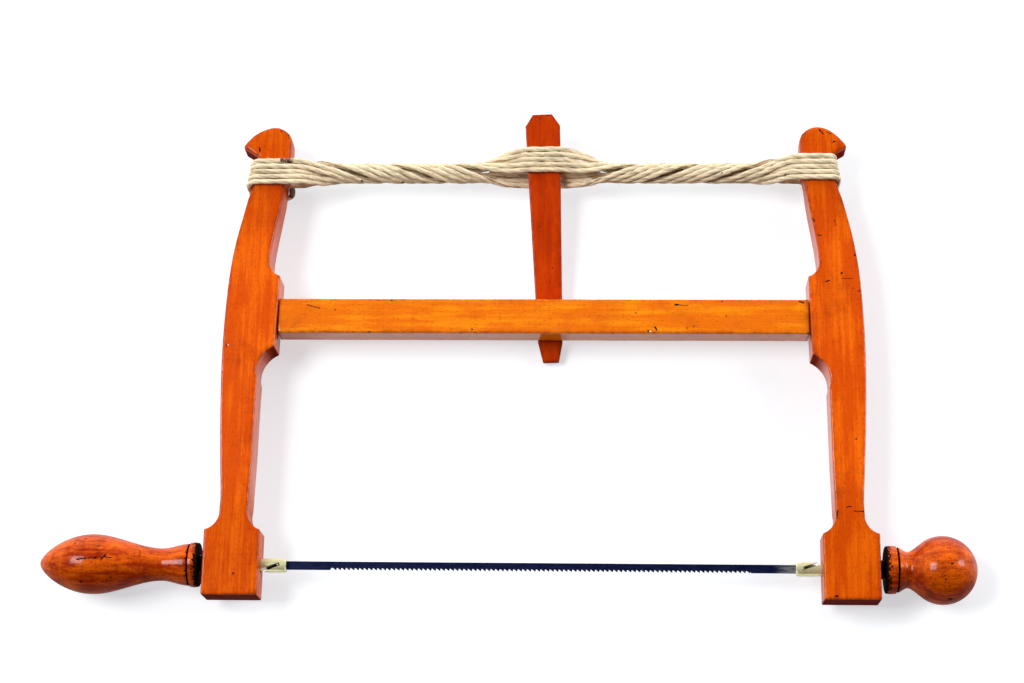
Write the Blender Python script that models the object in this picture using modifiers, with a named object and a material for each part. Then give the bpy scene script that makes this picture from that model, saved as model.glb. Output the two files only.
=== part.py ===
"""Bow saw: a beech frame that holds a narrow blade taut with a twisted cord and a toggle.

The saw lies flat. X runs from the handle to the knob, Y from the blade to the cord, and Z up
from the table. Pieces are laid out about the middle of the stretcher, and one empty sets the
saw down on its lowest point.
"""
import math

import bmesh
import bpy
from mathutils import Matrix, Vector

# Clearance between pieces that touch
JOINT_GAP = 0.0003

# Stretcher: the crossbar between the cheeks, with a stub tenon at each end
STRETCHER_LENGTH = 0.3183
STRETCHER_HEIGHT = 0.0214
STRETCHER_THICKNESS = 0.0165
STRETCHER_EASE = 0.0009
TENON_LENGTH = 0.0120
TENON_HEIGHT = 0.0150
TENON_THICKNESS = 0.0090

# Cheeks: the two upright arms, which carry the cord at the top and the blade at the foot
BLADE_DROP = 0.1510
CORD_RISE = 0.0945
CHEEK_THICKNESS = 0.0220
HEAD_THICKNESS = 0.0170
THINNING_START = 0.0400
CHEEK_EASE = 0.0009
HEAD_ROUND = 0.0024
ROUNDING_START = 0.0220
ROUNDING_END = 0.0085
CROWN_START = 0.0180
ROUNDING_FADE = 0.0060
BLOCK_RISE = 0.0245
BLOCK_LEAN = 0.0280
BOSS_SETBACK = 0.0045
BOSS_WIDTH = 0.0328
BOSS_HEIGHT = 0.0385
HEAD_OVERHANG = 0.0032
HEAD_HEIGHT = 0.0282

# The cheeks were cut by hand and differ a little: -1 is the handle's side and 1 the knob's
BLOCK_DROP = {-1: 0.0198, 1: 0.0238}
HOOK_REACH = {-1: 0.0266, 1: 0.0254}
THROAT_INSET = {-1: 0.0004, 1: 0.0024}

# Blade: a narrow strip with its teeth on the lower edge, leaning towards the knob
BLADE_WIDTH = 0.0050
BLADE_THICKNESS = 0.0007
BLADE_TAIL = 0.0070
TOOTHED_LENGTH = 0.2450
TOOTH_PITCH = 0.00265
TOOTH_DEPTH = 0.0013
TOOTH_LEAN = 0.20

# Blade holders: turned brass spindles, slotted for the blade, with a collar and a tang
HOLDER_DIAMETER = 0.0081
HOLDER_REACH = 0.0152
HOLDER_CHAMFER = 0.0008
COLLAR_DIAMETER = 0.0112
COLLAR_THICKNESS = 0.0028
TANG_DIAMETER = 0.0050
TANG_LENGTH = 0.0300
TANG_POINT_DIAMETER = 0.0030
TANG_POINT_LENGTH = 0.0030
PIN_DIAMETER = 0.0014
PIN_SETBACK = 0.0046
PIN_INSET = 0.00025
PIN_CLEARANCE = 0.00025
NOTCH_SLANT = math.radians(20)
NOTCH_OVERRUN = 0.0010

# Handle and knob: turned wood on the holders' tangs
HANDLE_LENGTH = 0.0943
HANDLE_DIAMETER = 0.0352
HANDLE_BELLY_AT = 0.0625
HANDLE_NOSE_FULLNESS = 0.61
HANDLE_NECK_DIAMETER = 0.0190
HANDLE_NECK_AT = 0.0217
HANDLE_COLLAR_DIAMETER = 0.0261
HANDLE_COLLAR_LENGTH = 0.0060
KNOB_DIAMETER = 0.0398
KNOB_CENTRE_AT = 0.0330
KNOB_NECK_DIAMETER = 0.0202
KNOB_NECK_AT = 0.0128
KNOB_COLLAR_DIAMETER = 0.0277
KNOB_COLLAR_LENGTH = 0.0072
GROOVE_DEPTH = 0.0008
GROOVE_WIDTH = 0.0012
GRIP_END_EASE = 0.0006

# Toggle: the flat lever that winds the cord and lodges behind the stretcher
TOGGLE_ABOVE = 0.0366
TOGGLE_BELOW = 0.1178
TOGGLE_THICKNESS = 0.0070
TOGGLE_TIP_THICKNESS = 0.0050
TOGGLE_TOP_WIDTH = 0.0214
TOGGLE_FOOT_WIDTH = 0.0148
TOGGLE_TIP_WIDTH = 0.0096
TOGGLE_TIP_LENGTH = 0.0120
TOGGLE_TOP_CHAMFER = 0.0048
TOGGLE_TOP_DROP = 0.0074
TOGGLE_SLEW = math.radians(2.35)
TOGGLE_EASE = 0.0009

# Cord: one length of twine, wound round both heads and twisted on each side of the toggle
CORD_DIAMETER = 0.0029
CORD_LOOPS = 5
WINDING_PITCH = 0.0034
WINDING_DROP = 0.0030
REAR_RISE = 0.0045
BUNDLE_RADIUS = 0.0048
CORE_OFFSET = 0.0017
CORE_DIP = 0.0011
FAN_SPREAD = 0.0005
HALF_TURNS = 3
TWIST_START = 0.0040
TWIST_RAMP = 0.0220
CHEEK_FAN = 0.0300
TOGGLE_FAN = 0.0300
TOGGLE_PITCH = 0.0032
TOGGLE_SPLIT = 0.0040
TOGGLE_LIFT = 0.0036
WRAP_GAP = 0.0009
TAIL_LENGTH = 0.0075
END_LENGTH = 0.0140

# Facets
TURNED_STEPS = 28
HOLDER_STEPS = 20
PIN_STEPS = 12
STEPS_PER_HALF = 24
CORNER_STEPS = 4

# Places that follow from the sizes
SHOULDER_X = STRETCHER_LENGTH / 2
BOSS_INNER_X = SHOULDER_X + BOSS_SETBACK
BOSS_OUTER_X = BOSS_INNER_X + BOSS_WIDTH
HOLDER_END_X = BOSS_INNER_X - HOLDER_REACH
PIN_X = HOLDER_END_X + PIN_SETBACK
GRIP_X = BOSS_OUTER_X + COLLAR_THICKNESS + 2 * JOINT_GAP
KNOB_LENGTH = KNOB_CENTRE_AT + KNOB_DIAMETER / 2
CORD_RADIUS = CORD_DIAMETER / 2
HEAD_INNER_X = SHOULDER_X - HEAD_OVERHANG

# Linear colours of the finishes
BEECH = (0.74, 0.11, 0.005)
PALE_BEECH = (0.84, 0.20, 0.015)
DARK_BEECH = (0.50, 0.08, 0.008)
BRASS = (0.68, 0.55, 0.16)
STEEL = (0.52, 0.53, 0.55)
BLUED_STEEL = (0.010, 0.013, 0.035)
TWINE = (0.66, 0.47, 0.25)


# Scene and materials

def new_collection(name):
    collection = bpy.data.collections.new(name)
    bpy.context.scene.collection.children.link(collection)
    return collection


def finish(obj, colour, roughness, metallic=0.0):
    """Give the object a Principled material of its own."""
    material = bpy.data.materials.new(obj.name + "_finish")
    material.use_nodes = True
    shader = material.node_tree.nodes["Principled BSDF"]
    shader.inputs["Base Color"].default_value = (*colour, 1.0)
    shader.inputs["Roughness"].default_value = roughness
    shader.inputs["Metallic"].default_value = metallic
    obj.data.materials.clear()
    obj.data.materials.append(material)


def add_empty(name, parent, location):
    empty = bpy.data.objects.new(name, None)
    empty.parent = parent
    empty.location = location
    PARTS.objects.link(empty)
    return empty


def add_object(name, data, parent, location=(0, 0, 0), rotation=(0, 0, 0)):
    obj = bpy.data.objects.new(name, data)
    obj.parent = parent
    obj.location = location
    obj.rotation_euler = rotation
    PARTS.objects.link(obj)
    return obj


# Shape helpers

def smooth(points, steps):
    """Points along a smooth curve through the given ones, both ends included."""
    knots = [Vector(p) for p in points]
    last = len(knots) - 1
    slopes = [(knots[min(i + 1, last)] - knots[max(i - 1, 0)]).normalized() for i in range(last + 1)]
    curve = []
    for i in range(last):
        span = (knots[i + 1] - knots[i]).length
        for j in range(steps):
            t = j / steps
            rise = t * t * (3 - 2 * t)
            start = span * t * (1 - t) ** 2
            end = span * t * t * (t - 1)
            curve.append(knots[i].lerp(knots[i + 1], rise) + slopes[i] * start + slopes[i + 1] * end)
    curve.append(knots[last])
    return curve


def arc(start, end, sagitta, steps):
    """Points on an arc; a positive sagitta bows it to the left of its travel."""
    start, end = Vector(start), Vector(end)
    chord = end - start
    half = chord.length / 2
    left = Vector((-chord.y, chord.x)).normalized()
    radius = (half * half + sagitta * sagitta) / (2 * sagitta)
    centre = (start + end) / 2 + left * (sagitta - radius)
    spoke = start - centre
    sweep = 2 * math.asin(half / abs(radius)) * math.copysign(1, -sagitta)
    points = []
    for i in range(steps + 1):
        points.append(centre + Matrix.Rotation(sweep * i / steps, 2) @ spoke)
    return points


def circle(centre, diameter, steps):
    """Points round a circle."""
    angles = [2 * math.pi * i / steps for i in range(steps)]
    radius = diameter / 2
    return [(centre[0] + radius * math.cos(a), centre[1] + radius * math.sin(a)) for a in angles]


def ease(t):
    """Smooth step from 0 to 1."""
    t = min(max(t, 0.0), 1.0)
    return t * t * (3 - 2 * t)


def slab(name, outline, thickness, holes=()):
    """Mesh of a flat outline, with any holes, given a thickness about its own plane."""
    curve = bpy.data.curves.new(name, "CURVE")
    curve.dimensions = "2D"
    curve.fill_mode = "BOTH"
    curve.extrude = thickness / 2
    for loop in (outline, *holes):
        spline = curve.splines.new("POLY")
        spline.points.add(len(loop) - 1)
        for point, place in zip(spline.points, loop):
            point.co = (place[0], place[1], 0, 1)
        spline.use_cyclic_u = True
    guide = bpy.data.objects.new(name + "_outline", curve)
    bpy.context.scene.collection.objects.link(guide)
    evaluated = guide.evaluated_get(bpy.context.evaluated_depsgraph_get())
    mesh = bpy.data.meshes.new_from_object(evaluated)
    bpy.data.objects.remove(guide)
    mesh.name = name
    bm = bmesh.new()
    bm.from_mesh(mesh)
    bmesh.ops.remove_doubles(bm, verts=bm.verts, dist=1e-6)
    bmesh.ops.recalc_face_normals(bm, faces=bm.faces)
    bmesh.ops.dissolve_limit(bm, angle_limit=math.radians(0.2), verts=bm.verts, edges=bm.edges)
    bm.to_mesh(mesh)
    bm.free()
    return mesh


def block_mesh(name, size, at=(0, 0, 0)):
    """Box of the given size about a point."""
    mesh = bpy.data.meshes.new(name)
    bm = bmesh.new()
    bmesh.ops.create_cube(bm, size=1.0)
    bmesh.ops.scale(bm, vec=size, verts=bm.verts)
    bmesh.ops.translate(bm, vec=at, verts=bm.verts)
    bm.to_mesh(mesh)
    bm.free()
    return mesh


def rod_mesh(name, diameter, length, steps):
    """Round rod along Z about the origin."""
    mesh = bpy.data.meshes.new(name)
    bm = bmesh.new()
    radius = diameter / 2
    bmesh.ops.create_cone(bm, cap_ends=True, segments=steps, radius1=radius, radius2=radius, depth=length)
    bm.to_mesh(mesh)
    bm.free()
    return mesh


def turned(name, profile, steps, parent, location, rotation):
    """Piece turned about its local Z axis; the profile of (radius, height) runs down its outer side."""
    mesh = bpy.data.meshes.new(name)
    points = [(radius, 0, height) for radius, height in profile]
    mesh.from_pydata(points, [(i, i + 1) for i in range(len(points) - 1)], [])
    obj = add_object(name, mesh, parent, location, rotation)
    screw = obj.modifiers.new("turning", "SCREW")
    screw.steps = steps
    screw.render_steps = steps
    screw.use_merge_vertices = True
    screw.merge_threshold = 1e-6
    screw.use_smooth_shade = True
    return obj


def cutter(name, mesh, parent, location=(0, 0, 0), rotation=(0, 0, 0)):
    """Tool that only cuts or joins, kept out of the picture."""
    obj = bpy.data.objects.new(name, mesh)
    obj.parent = parent
    obj.location = location
    obj.rotation_euler = rotation
    obj.hide_render = True
    obj.display_type = "WIRE"
    CUTTERS.objects.link(obj)
    return obj


def boolean(obj, tool, operation="DIFFERENCE"):
    modifier = obj.modifiers.new(tool.name, "BOOLEAN")
    modifier.operation = operation
    modifier.object = tool


def bevel(obj, width, limit="ANGLE"):
    modifier = obj.modifiers.new("eased_edges", "BEVEL")
    modifier.width = width
    modifier.segments = 2
    modifier.limit_method = limit
    modifier.use_clamp_overlap = False
    return modifier


# Stretcher

def make_stretcher(parent):
    """Plain bar with a shouldered stub tenon at each end."""
    bar = block_mesh("stretcher", (STRETCHER_LENGTH, STRETCHER_HEIGHT, STRETCHER_THICKNESS))
    obj = add_object("stretcher", bar, parent)
    tenon_span = STRETCHER_LENGTH + 2 * TENON_LENGTH
    tenons = block_mesh("tenons", (tenon_span, TENON_HEIGHT, TENON_THICKNESS))
    boolean(obj, cutter("tenons", tenons, parent), "UNION")
    bevel(obj, STRETCHER_EASE)
    finish(obj, PALE_BEECH, 0.35)
    return obj


# Cheeks

def half_thickness(y):
    """Half the thickness of a cheek, which thins from its block up to the top of its head."""
    top = CORD_RISE + HEAD_HEIGHT
    share = max(0.0, (y - THINNING_START) / (top - THINNING_START))
    return (CHEEK_THICKNESS + (HEAD_THICKNESS - CHEEK_THICKNESS) * share) / 2


def block_face(y):
    """Distance of the block's inner face from the stretcher's shoulder; it touches at the top edge."""
    return JOINT_GAP + BLOCK_LEAN * (STRETCHER_HEIGHT / 2 - y)


def outer_edge(side):
    """The cheek's outer edge, from the waist above the boss to the throat under the hook."""
    foot, cord = -BLADE_DROP, CORD_RISE
    inset = THROAT_INSET[side]
    return smooth([
        (0.0289, foot + 0.0300), (0.0287, foot + 0.0390), (0.0302, foot + 0.0630), (0.0317, -0.0580),
        (0.0325, -0.0250), (0.0319, 0.0020), (0.0304, 0.0260), (0.0277, 0.0460), (0.0240, cord - 0.0305),
        (0.0206 - 0.3 * inset, cord - 0.0135), (0.0188 - 0.8 * inset, cord - 0.0005),
        (0.0181 - inset, cord + 0.0082)], 3)


def outer_edge_at(y, side):
    """Distance of the outer edge from the stretcher's shoulder at a height near the cord."""
    edge = outer_edge(side)
    for low, high in zip(edge, edge[1:]):
        if low.y <= y <= high.y:
            return low.x + (high.x - low.x) * (y - low.y) / (high.y - low.y)
    return edge[-1].x


def cheek_outline(side):
    """Outline of a cheek, anticlockwise, as distances out from the stretcher's shoulder."""
    block_drop, reach = BLOCK_DROP[side], HOOK_REACH[side]
    foot, cord = -BLADE_DROP, CORD_RISE
    sole, shoulder = foot - BOSS_HEIGHT / 2, foot + BOSS_HEIGHT / 2
    boss_outer = BOSS_SETBACK + BOSS_WIDTH
    outer = outer_edge(side)
    top = cord + HEAD_HEIGHT
    hook = [
        (reach - 0.0008, cord + 0.0129), (reach, cord + 0.0139),
        (reach - 0.0004, cord + 0.0156), (reach - 0.0031, cord + 0.0196),
        (reach - 0.0062, top - 0.0052), (0.0142, top - 0.0016), (0.0078, top), (0.0026, top - 0.0013),
        (0.0022 - HEAD_OVERHANG, top - 0.0042), (0.0005 - HEAD_OVERHANG, top - 0.0074),
        (-HEAD_OVERHANG, cord + 0.0170), (0.0004 - HEAD_OVERHANG, cord + 0.0060)]
    inner = [
        (0.0008 - HEAD_OVERHANG, cord - 0.0015), (-0.0008, cord - 0.0095), (0.0015, cord - 0.0245),
        (0.0043, 0.0530), (0.0060, 0.0415), (0.0066, BLOCK_RISE + 0.0090)]
    block_top = (block_face(BLOCK_RISE), BLOCK_RISE)
    block_foot = (block_face(-block_drop), -block_drop)
    arm = [
        (0.0107, -block_drop - 0.0205), (0.0110, -block_drop - 0.0380), (0.0113, foot + 0.0630),
        (0.0118, foot + 0.0450), (0.0121, foot + 0.0330)]
    stretches = [
        [(BOSS_SETBACK, sole), (boss_outer, sole)],
        arc((boss_outer, shoulder), outer[0], 0.0024, 6),
        outer,
        smooth(hook, 3),
        smooth(inner, 3),
        arc(inner[-1], block_top, 0.0018, 6),
        [block_foot],
        arc(block_foot, arm[0], 0.0042, 7),
        smooth(arm, 2),
        arc(arm[-1], (BOSS_SETBACK, shoulder), 0.0030, 6),
    ]
    outline = []
    for point in (Vector(p) for stretch in stretches for p in stretch):
        if not outline or (point - outline[-1]).length > 1e-5:
            outline.append(point)
    return outline


def rounding_at(height):
    """Share of the full rounding at a height about the cord: under the winding and on the crown."""
    start = ease((height + ROUNDING_START) / ROUNDING_FADE)
    end = ease((ROUNDING_END - height) / ROUNDING_FADE)
    crown = ease((height - CROWN_START) / ROUNDING_FADE)
    return max(start * end, crown)


def shape_cheek(mesh):
    """Thin the cheek towards its head and mark the arrises, most rounded on the head."""
    bm = bmesh.new()
    bm.from_mesh(mesh)
    everything = bm.verts[:] + bm.edges[:] + bm.faces[:]
    bmesh.ops.bisect_plane(bm, geom=everything, plane_co=(0, THINNING_START, 0), plane_no=(0, 1, 0))
    weights = bm.edges.layers.float.new("bevel_weight_edge")
    for edge in bm.edges:
        if len(edge.link_faces) == 2 and edge.calc_face_angle() > math.radians(60):
            first, second = (vert.co for vert in edge.verts)
            if abs(first.z - second.z) < 1e-6:
                share = rounding_at((first.y + second.y) / 2 - CORD_RISE)
                edge[weights] = (CHEEK_EASE + (HEAD_ROUND - CHEEK_EASE) * share) / HEAD_ROUND
    for vert in bm.verts:
        vert.co.z = math.copysign(half_thickness(vert.co.y), vert.co.z)
    bm.to_mesh(mesh)
    bm.free()


def make_cheek(name, side, parent):
    """Cheek on the given side, with the stretcher's mortise and the bore for the blade holder."""
    outline = [(side * (SHOULDER_X + p.x), p.y) for p in cheek_outline(side)]
    mesh = slab(name, outline, CHEEK_THICKNESS)
    shape_cheek(mesh)
    obj = add_object(name, mesh, parent)
    bevel(obj, HEAD_ROUND, "WEIGHT")
    mortise_size = (
        2 * (TENON_LENGTH + JOINT_GAP), TENON_HEIGHT + 2 * JOINT_GAP, TENON_THICKNESS + 2 * JOINT_GAP)
    mortise = block_mesh(name + "_mortise", mortise_size)
    boolean(obj, cutter(name + "_mortise", mortise, parent, (side * SHOULDER_X, 0, 0)))
    bore = rod_mesh(name + "_bore", HOLDER_DIAMETER + 2 * JOINT_GAP, 2 * BOSS_WIDTH, HOLDER_STEPS)
    bore_at = (side * (BOSS_INNER_X + BOSS_OUTER_X) / 2, -BLADE_DROP, 0)
    boolean(obj, cutter(name + "_bore", bore, parent, bore_at, (0, math.pi / 2, 0)))
    finish(obj, BEECH, 0.35)
    return obj


# Blade and its holders

def make_blade(parent):
    """Toothed strip with a hole for the cross pin near each end."""
    end = PIN_X + BLADE_TAIL
    top, root = BLADE_WIDTH / 2, -BLADE_WIDTH / 2
    teeth = int(TOOTHED_LENGTH / TOOTH_PITCH)
    start = -teeth * TOOTH_PITCH / 2
    outline = [(end, top), (-end, top), (-end, root), (start, root)]
    for i in range(teeth):
        x = start + i * TOOTH_PITCH
        outline.append((x + TOOTH_LEAN * TOOTH_PITCH, root + TOOTH_DEPTH))
        outline.append((x + TOOTH_PITCH, root))
    outline.append((end, root))
    holes = [circle((side * PIN_X, 0), PIN_DIAMETER + 2 * PIN_CLEARANCE, PIN_STEPS) for side in (-1, 1)]
    obj = add_object("blade", slab("blade", outline, BLADE_THICKNESS, holes), parent)
    finish(obj, BLUED_STEEL, 0.4, 1.0)
    return obj


def make_holder(label, side, parent):
    """Brass spindle: slotted end, shaft through the boss, collar against it and tang in the wood."""
    shaft, collar, tang = HOLDER_DIAMETER / 2, COLLAR_DIAMETER / 2, TANG_DIAMETER / 2
    collar_foot = BOSS_OUTER_X + JOINT_GAP
    collar_top = collar_foot + COLLAR_THICKNESS
    tang_end = GRIP_X + TANG_LENGTH
    profile = [
        (0, tang_end), (TANG_POINT_DIAMETER / 2, tang_end), (tang, tang_end - TANG_POINT_LENGTH),
        (tang, collar_top),
        (collar - HOLDER_CHAMFER / 2, collar_top), (collar, collar_top - HOLDER_CHAMFER / 2),
        (collar, collar_foot), (shaft, collar_foot), (shaft, HOLDER_END_X + HOLDER_CHAMFER),
        (shaft - HOLDER_CHAMFER, HOLDER_END_X), (0, HOLDER_END_X)]
    along_x = (0, side * math.pi / 2, 0)
    obj = turned(label + "_blade_holder", profile, HOLDER_STEPS, parent, (0, 0, 0), along_x)
    slot_depth = PIN_SETBACK + BLADE_TAIL + JOINT_GAP
    slot_size = (2 * slot_depth, 2 * HOLDER_DIAMETER, BLADE_THICKNESS + 2 * JOINT_GAP)
    slot = block_mesh(label + "_blade_slot", slot_size)
    boolean(obj, cutter(label + "_blade_slot", slot, parent, (side * HOLDER_END_X, 0, 0)))
    notch_width = PIN_DIAMETER + 2 * PIN_CLEARANCE
    reach = (shaft + NOTCH_OVERRUN) / math.sin(NOTCH_SLANT)
    notch_size = (reach + notch_width / 2, notch_width, 2 * HOLDER_DIAMETER)
    notch_middle = (reach - notch_width / 2) / 2
    notch = block_mesh(label + "_pin_notch", notch_size, (notch_middle, 0, 0))
    turn = NOTCH_SLANT if side > 0 else math.pi + NOTCH_SLANT
    boolean(obj, cutter(label + "_pin_notch", notch, parent, (side * PIN_X, 0, 0), (0, 0, turn)))
    finish(obj, BRASS, 0.25, 1.0)
    return obj


def make_pin(label, side, parent):
    """Steel cross pin through the blade, lodged at the root of the holder's slanting notch."""
    mesh = rod_mesh(label + "_cross_pin", PIN_DIAMETER, HOLDER_DIAMETER - 2 * PIN_INSET, PIN_STEPS)
    obj = add_object(label + "_cross_pin", mesh, parent, (side * PIN_X, 0, 0))
    finish(obj, STEEL, 0.3, 1.0)
    return obj


# Handle and knob

def grip_end(collar, collar_length):
    """Profile of a grip's collar and end face, down to the bore for the tang."""
    groove_low, groove_high = collar_length - GROOVE_WIDTH, collar_length
    bore = TANG_DIAMETER / 2 + JOINT_GAP
    depth = TANG_LENGTH + JOINT_GAP
    return [
        (collar - GROOVE_DEPTH, groove_high), (collar - 2 * GROOVE_DEPTH, groove_high - GROOVE_WIDTH / 2),
        (collar, groove_low), (collar, GRIP_END_EASE), (collar - GRIP_END_EASE, 0),
        (bore, 0), (bore, depth), (0, depth)]


def make_handle(parent):
    """Turned handle: a belly that runs out to a small nose, a neck and a collar."""
    belly, neck, collar = HANDLE_DIAMETER / 2, HANDLE_NECK_DIAMETER / 2, HANDLE_COLLAR_DIAMETER / 2
    nose = HANDLE_LENGTH - HANDLE_BELLY_AT
    profile = [(0, HANDLE_LENGTH)]
    for i in range(1, 10):
        run = math.sin((1 - i / 10) * math.pi / 2)
        swell = math.cos(run * math.pi / 2) ** HANDLE_NOSE_FULLNESS
        profile.append((belly * swell, HANDLE_BELLY_AT + nose * run))
    for i in range(9):
        t = 1 - i / 8
        height = HANDLE_NECK_AT + (HANDLE_BELLY_AT - HANDLE_NECK_AT) * t
        profile.append((neck + (belly - neck) * ease(t), height))
    for i in range(1, 4):
        t = i / 4
        height = HANDLE_NECK_AT + (HANDLE_COLLAR_LENGTH - HANDLE_NECK_AT) * t
        profile.append((neck + (collar - GROOVE_DEPTH - neck) * ease(t), height))
    profile += grip_end(collar, HANDLE_COLLAR_LENGTH)
    obj = turned("handle", profile, TURNED_STEPS, parent, (-GRIP_X, 0, 0), (0, -math.pi / 2, 0))
    finish(obj, DARK_BEECH, 0.3)
    return obj


def make_knob(parent):
    """Turned knob: a ball on a short neck with a collar."""
    ball, neck, collar = KNOB_DIAMETER / 2, KNOB_NECK_DIAMETER / 2, KNOB_COLLAR_DIAMETER / 2
    meet = KNOB_CENTRE_AT - math.sqrt(ball * ball - neck * neck)
    sweep = math.acos((meet - KNOB_CENTRE_AT) / ball)
    angles = [math.pi / 2 * i / 9 for i in range(10)]
    angles += [math.pi / 2 + (sweep - math.pi / 2) * i / 6 for i in range(1, 6)]
    profile = [(ball * math.sin(a), KNOB_CENTRE_AT + ball * math.cos(a)) for a in angles]
    profile.append((neck, (meet + KNOB_NECK_AT) / 2))
    profile.append((neck, KNOB_NECK_AT))
    for i in range(1, 4):
        t = i / 4
        height = KNOB_NECK_AT + (KNOB_COLLAR_LENGTH - KNOB_NECK_AT) * t
        profile.append((neck + (collar - GROOVE_DEPTH - neck) * ease(t), height))
    profile += grip_end(collar, KNOB_COLLAR_LENGTH)
    obj = turned("knob", profile, TURNED_STEPS, parent, (GRIP_X, 0, 0), (0, math.pi / 2, 0))
    finish(obj, DARK_BEECH, 0.3)
    return obj


# Toggle

def toggle_lean():
    """Angle about X at which the toggle's face meets the stretcher's upper rear edge."""
    drop = CORD_RISE - STRETCHER_HEIGHT / 2
    back = STRETCHER_THICKNESS / 2
    clear = TOGGLE_THICKNESS / 2 + JOINT_GAP
    return math.atan2(back, drop) + math.asin(clear / math.hypot(drop, back))


def make_toggle(parent):
    """Tapered flat lever, its upper corners cut off and its tip drawn in."""
    top, foot, tip = TOGGLE_TOP_WIDTH / 2, TOGGLE_FOOT_WIDTH / 2, TOGGLE_TIP_WIDTH / 2
    half = [
        (top - TOGGLE_TOP_CHAMFER, TOGGLE_ABOVE), (top, TOGGLE_ABOVE - TOGGLE_TOP_DROP),
        (foot, TOGGLE_TIP_LENGTH - TOGGLE_BELOW), (tip, -TOGGLE_BELOW)]
    outline = [(-x, y) for x, y in half] + [(x, y) for x, y in reversed(half)]
    mesh = slab("toggle", outline, TOGGLE_THICKNESS)
    for vert in mesh.vertices:
        if vert.co.y < -TOGGLE_BELOW + TOGGLE_TIP_LENGTH / 2:
            vert.co.z *= TOGGLE_TIP_THICKNESS / TOGGLE_THICKNESS
    obj = add_object("toggle", mesh, parent, (0, 0, 0), (0, 0, TOGGLE_SLEW))
    bevel(obj, TOGGLE_EASE)
    finish(obj, DARK_BEECH, 0.4)
    return obj


# Cord

def twist_at(x):
    """Turn of the bundle about the cord's axis: none at the cheeks, the full twist at the toggle."""
    total = HALF_TURNS * math.pi + toggle_lean()
    start = HEAD_INNER_X - TWIST_START
    length = start - TOGGLE_TOP_WIDTH / 2
    s = min(max(start - abs(x), 0.0), length)
    rate = total / (length - TWIST_RAMP)
    if s < TWIST_RAMP:
        return rate * s * s / (2 * TWIST_RAMP)
    if s > length - TWIST_RAMP:
        return total - rate * (length - s) ** 2 / (2 * TWIST_RAMP)
    return rate * (s - TWIST_RAMP / 2)


def near_cheek(x):
    """Share of the fan that opens towards a head: 1 on the head, 0 in the bundle."""
    return 1 - ease((HEAD_INNER_X - abs(x)) / CHEEK_FAN)


def near_toggle(x):
    """Share of the fan that opens towards the toggle: 1 on the toggle, 0 in the bundle."""
    return 1 - ease((abs(x) - TOGGLE_TOP_WIDTH / 2) / TOGGLE_FAN)


def level_height(level, side):
    """Height of a turn of the winding on a head; on the handle's side it has slipped down a little."""
    height = (level - (CORD_LOOPS - 1) / 2) * WINDING_PITCH
    return height - WINDING_DROP if side < 0 else height


def winding_offset():
    """Distance of the winding's strands from the middle of a head, clear of its thickest place."""
    return half_thickness(CORD_RISE + level_height(-1, -1)) + JOINT_GAP + CORD_RADIUS


def strand_section(level, x):
    """Place of a front strand across the bundle, before the twist, for a level of the winding.

    In the bundle the middle strand of the front and that of the rear are the core, and the others ring them.
    """
    step = level - (CORD_LOOPS - 1) / 2
    at_cheek, at_toggle = near_cheek(x), near_toggle(x)
    bundled = 1 - at_cheek - at_toggle
    opening = 4 * bundled * (1 - bundled)
    pitch = WINDING_PITCH * at_cheek + TOGGLE_PITCH * at_toggle + FAN_SPREAD * opening
    y = step * pitch + TOGGLE_SPLIT * at_toggle
    z = winding_offset() * at_cheek + (TOGGLE_THICKNESS / 2 + JOINT_GAP + CORD_RADIUS) * at_toggle
    if step == 0:
        return y, z + CORE_OFFSET * bundled - CORE_DIP * opening
    angle = (step - math.copysign(0.5, step)) * math.pi / (CORD_LOOPS - 1)
    return y + BUNDLE_RADIUS * math.sin(angle) * bundled, z + BUNDLE_RADIUS * math.cos(angle) * bundled


def strand(level, front):
    """Points of one strand between the heads, from the handle's side to the knob's."""
    points = []
    count = 2 * STEPS_PER_HALF
    lean = toggle_lean()
    for i in range(count + 1):
        x = HEAD_INNER_X * (2 * i / count - 1)
        y, z = strand_section(level if front else CORD_LOOPS - 1 - level, x)
        if not front:
            y, z = -y, -z
        angle = twist_at(x)
        lift = TOGGLE_LIFT * near_toggle(x)
        shift = (0 if front else REAR_RISE) - (WINDING_DROP if x < 0 else 0)
        turned_y = y * math.cos(angle) - z * math.sin(angle) + lift * math.cos(lean) + shift * near_cheek(x)
        turned_z = y * math.sin(angle) + z * math.cos(angle) + lift * math.sin(lean)
        points.append(Vector((x, turned_y, turned_z)))
    return points


def wrap(side, front_level, rear_level):
    """Points round a head's outer edge, from the front face to the rear, easing from level to level."""
    front_y, rear_y = (level_height(level, side) for level in (front_level, rear_level))
    edge = SHOULDER_X + outer_edge_at(CORD_RISE + min(front_y, rear_y), side)
    reach = HEAD_ROUND + WRAP_GAP + CORD_RADIUS
    rise = winding_offset() - reach
    points = []
    for i in range(2 * CORNER_STEPS):
        front = i < CORNER_STEPS
        angle = math.radians(90) * (1 - (i if front else i - 1) / (CORNER_STEPS - 1))
        x = edge - HEAD_ROUND + reach * math.cos(angle)
        z = reach * math.sin(angle) + (rise if front else -rise)
        y = front_y + (rear_y - front_y) * i / (2 * CORNER_STEPS - 1)
        points.append(Vector((side * x, y, z)))
    return points


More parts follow.
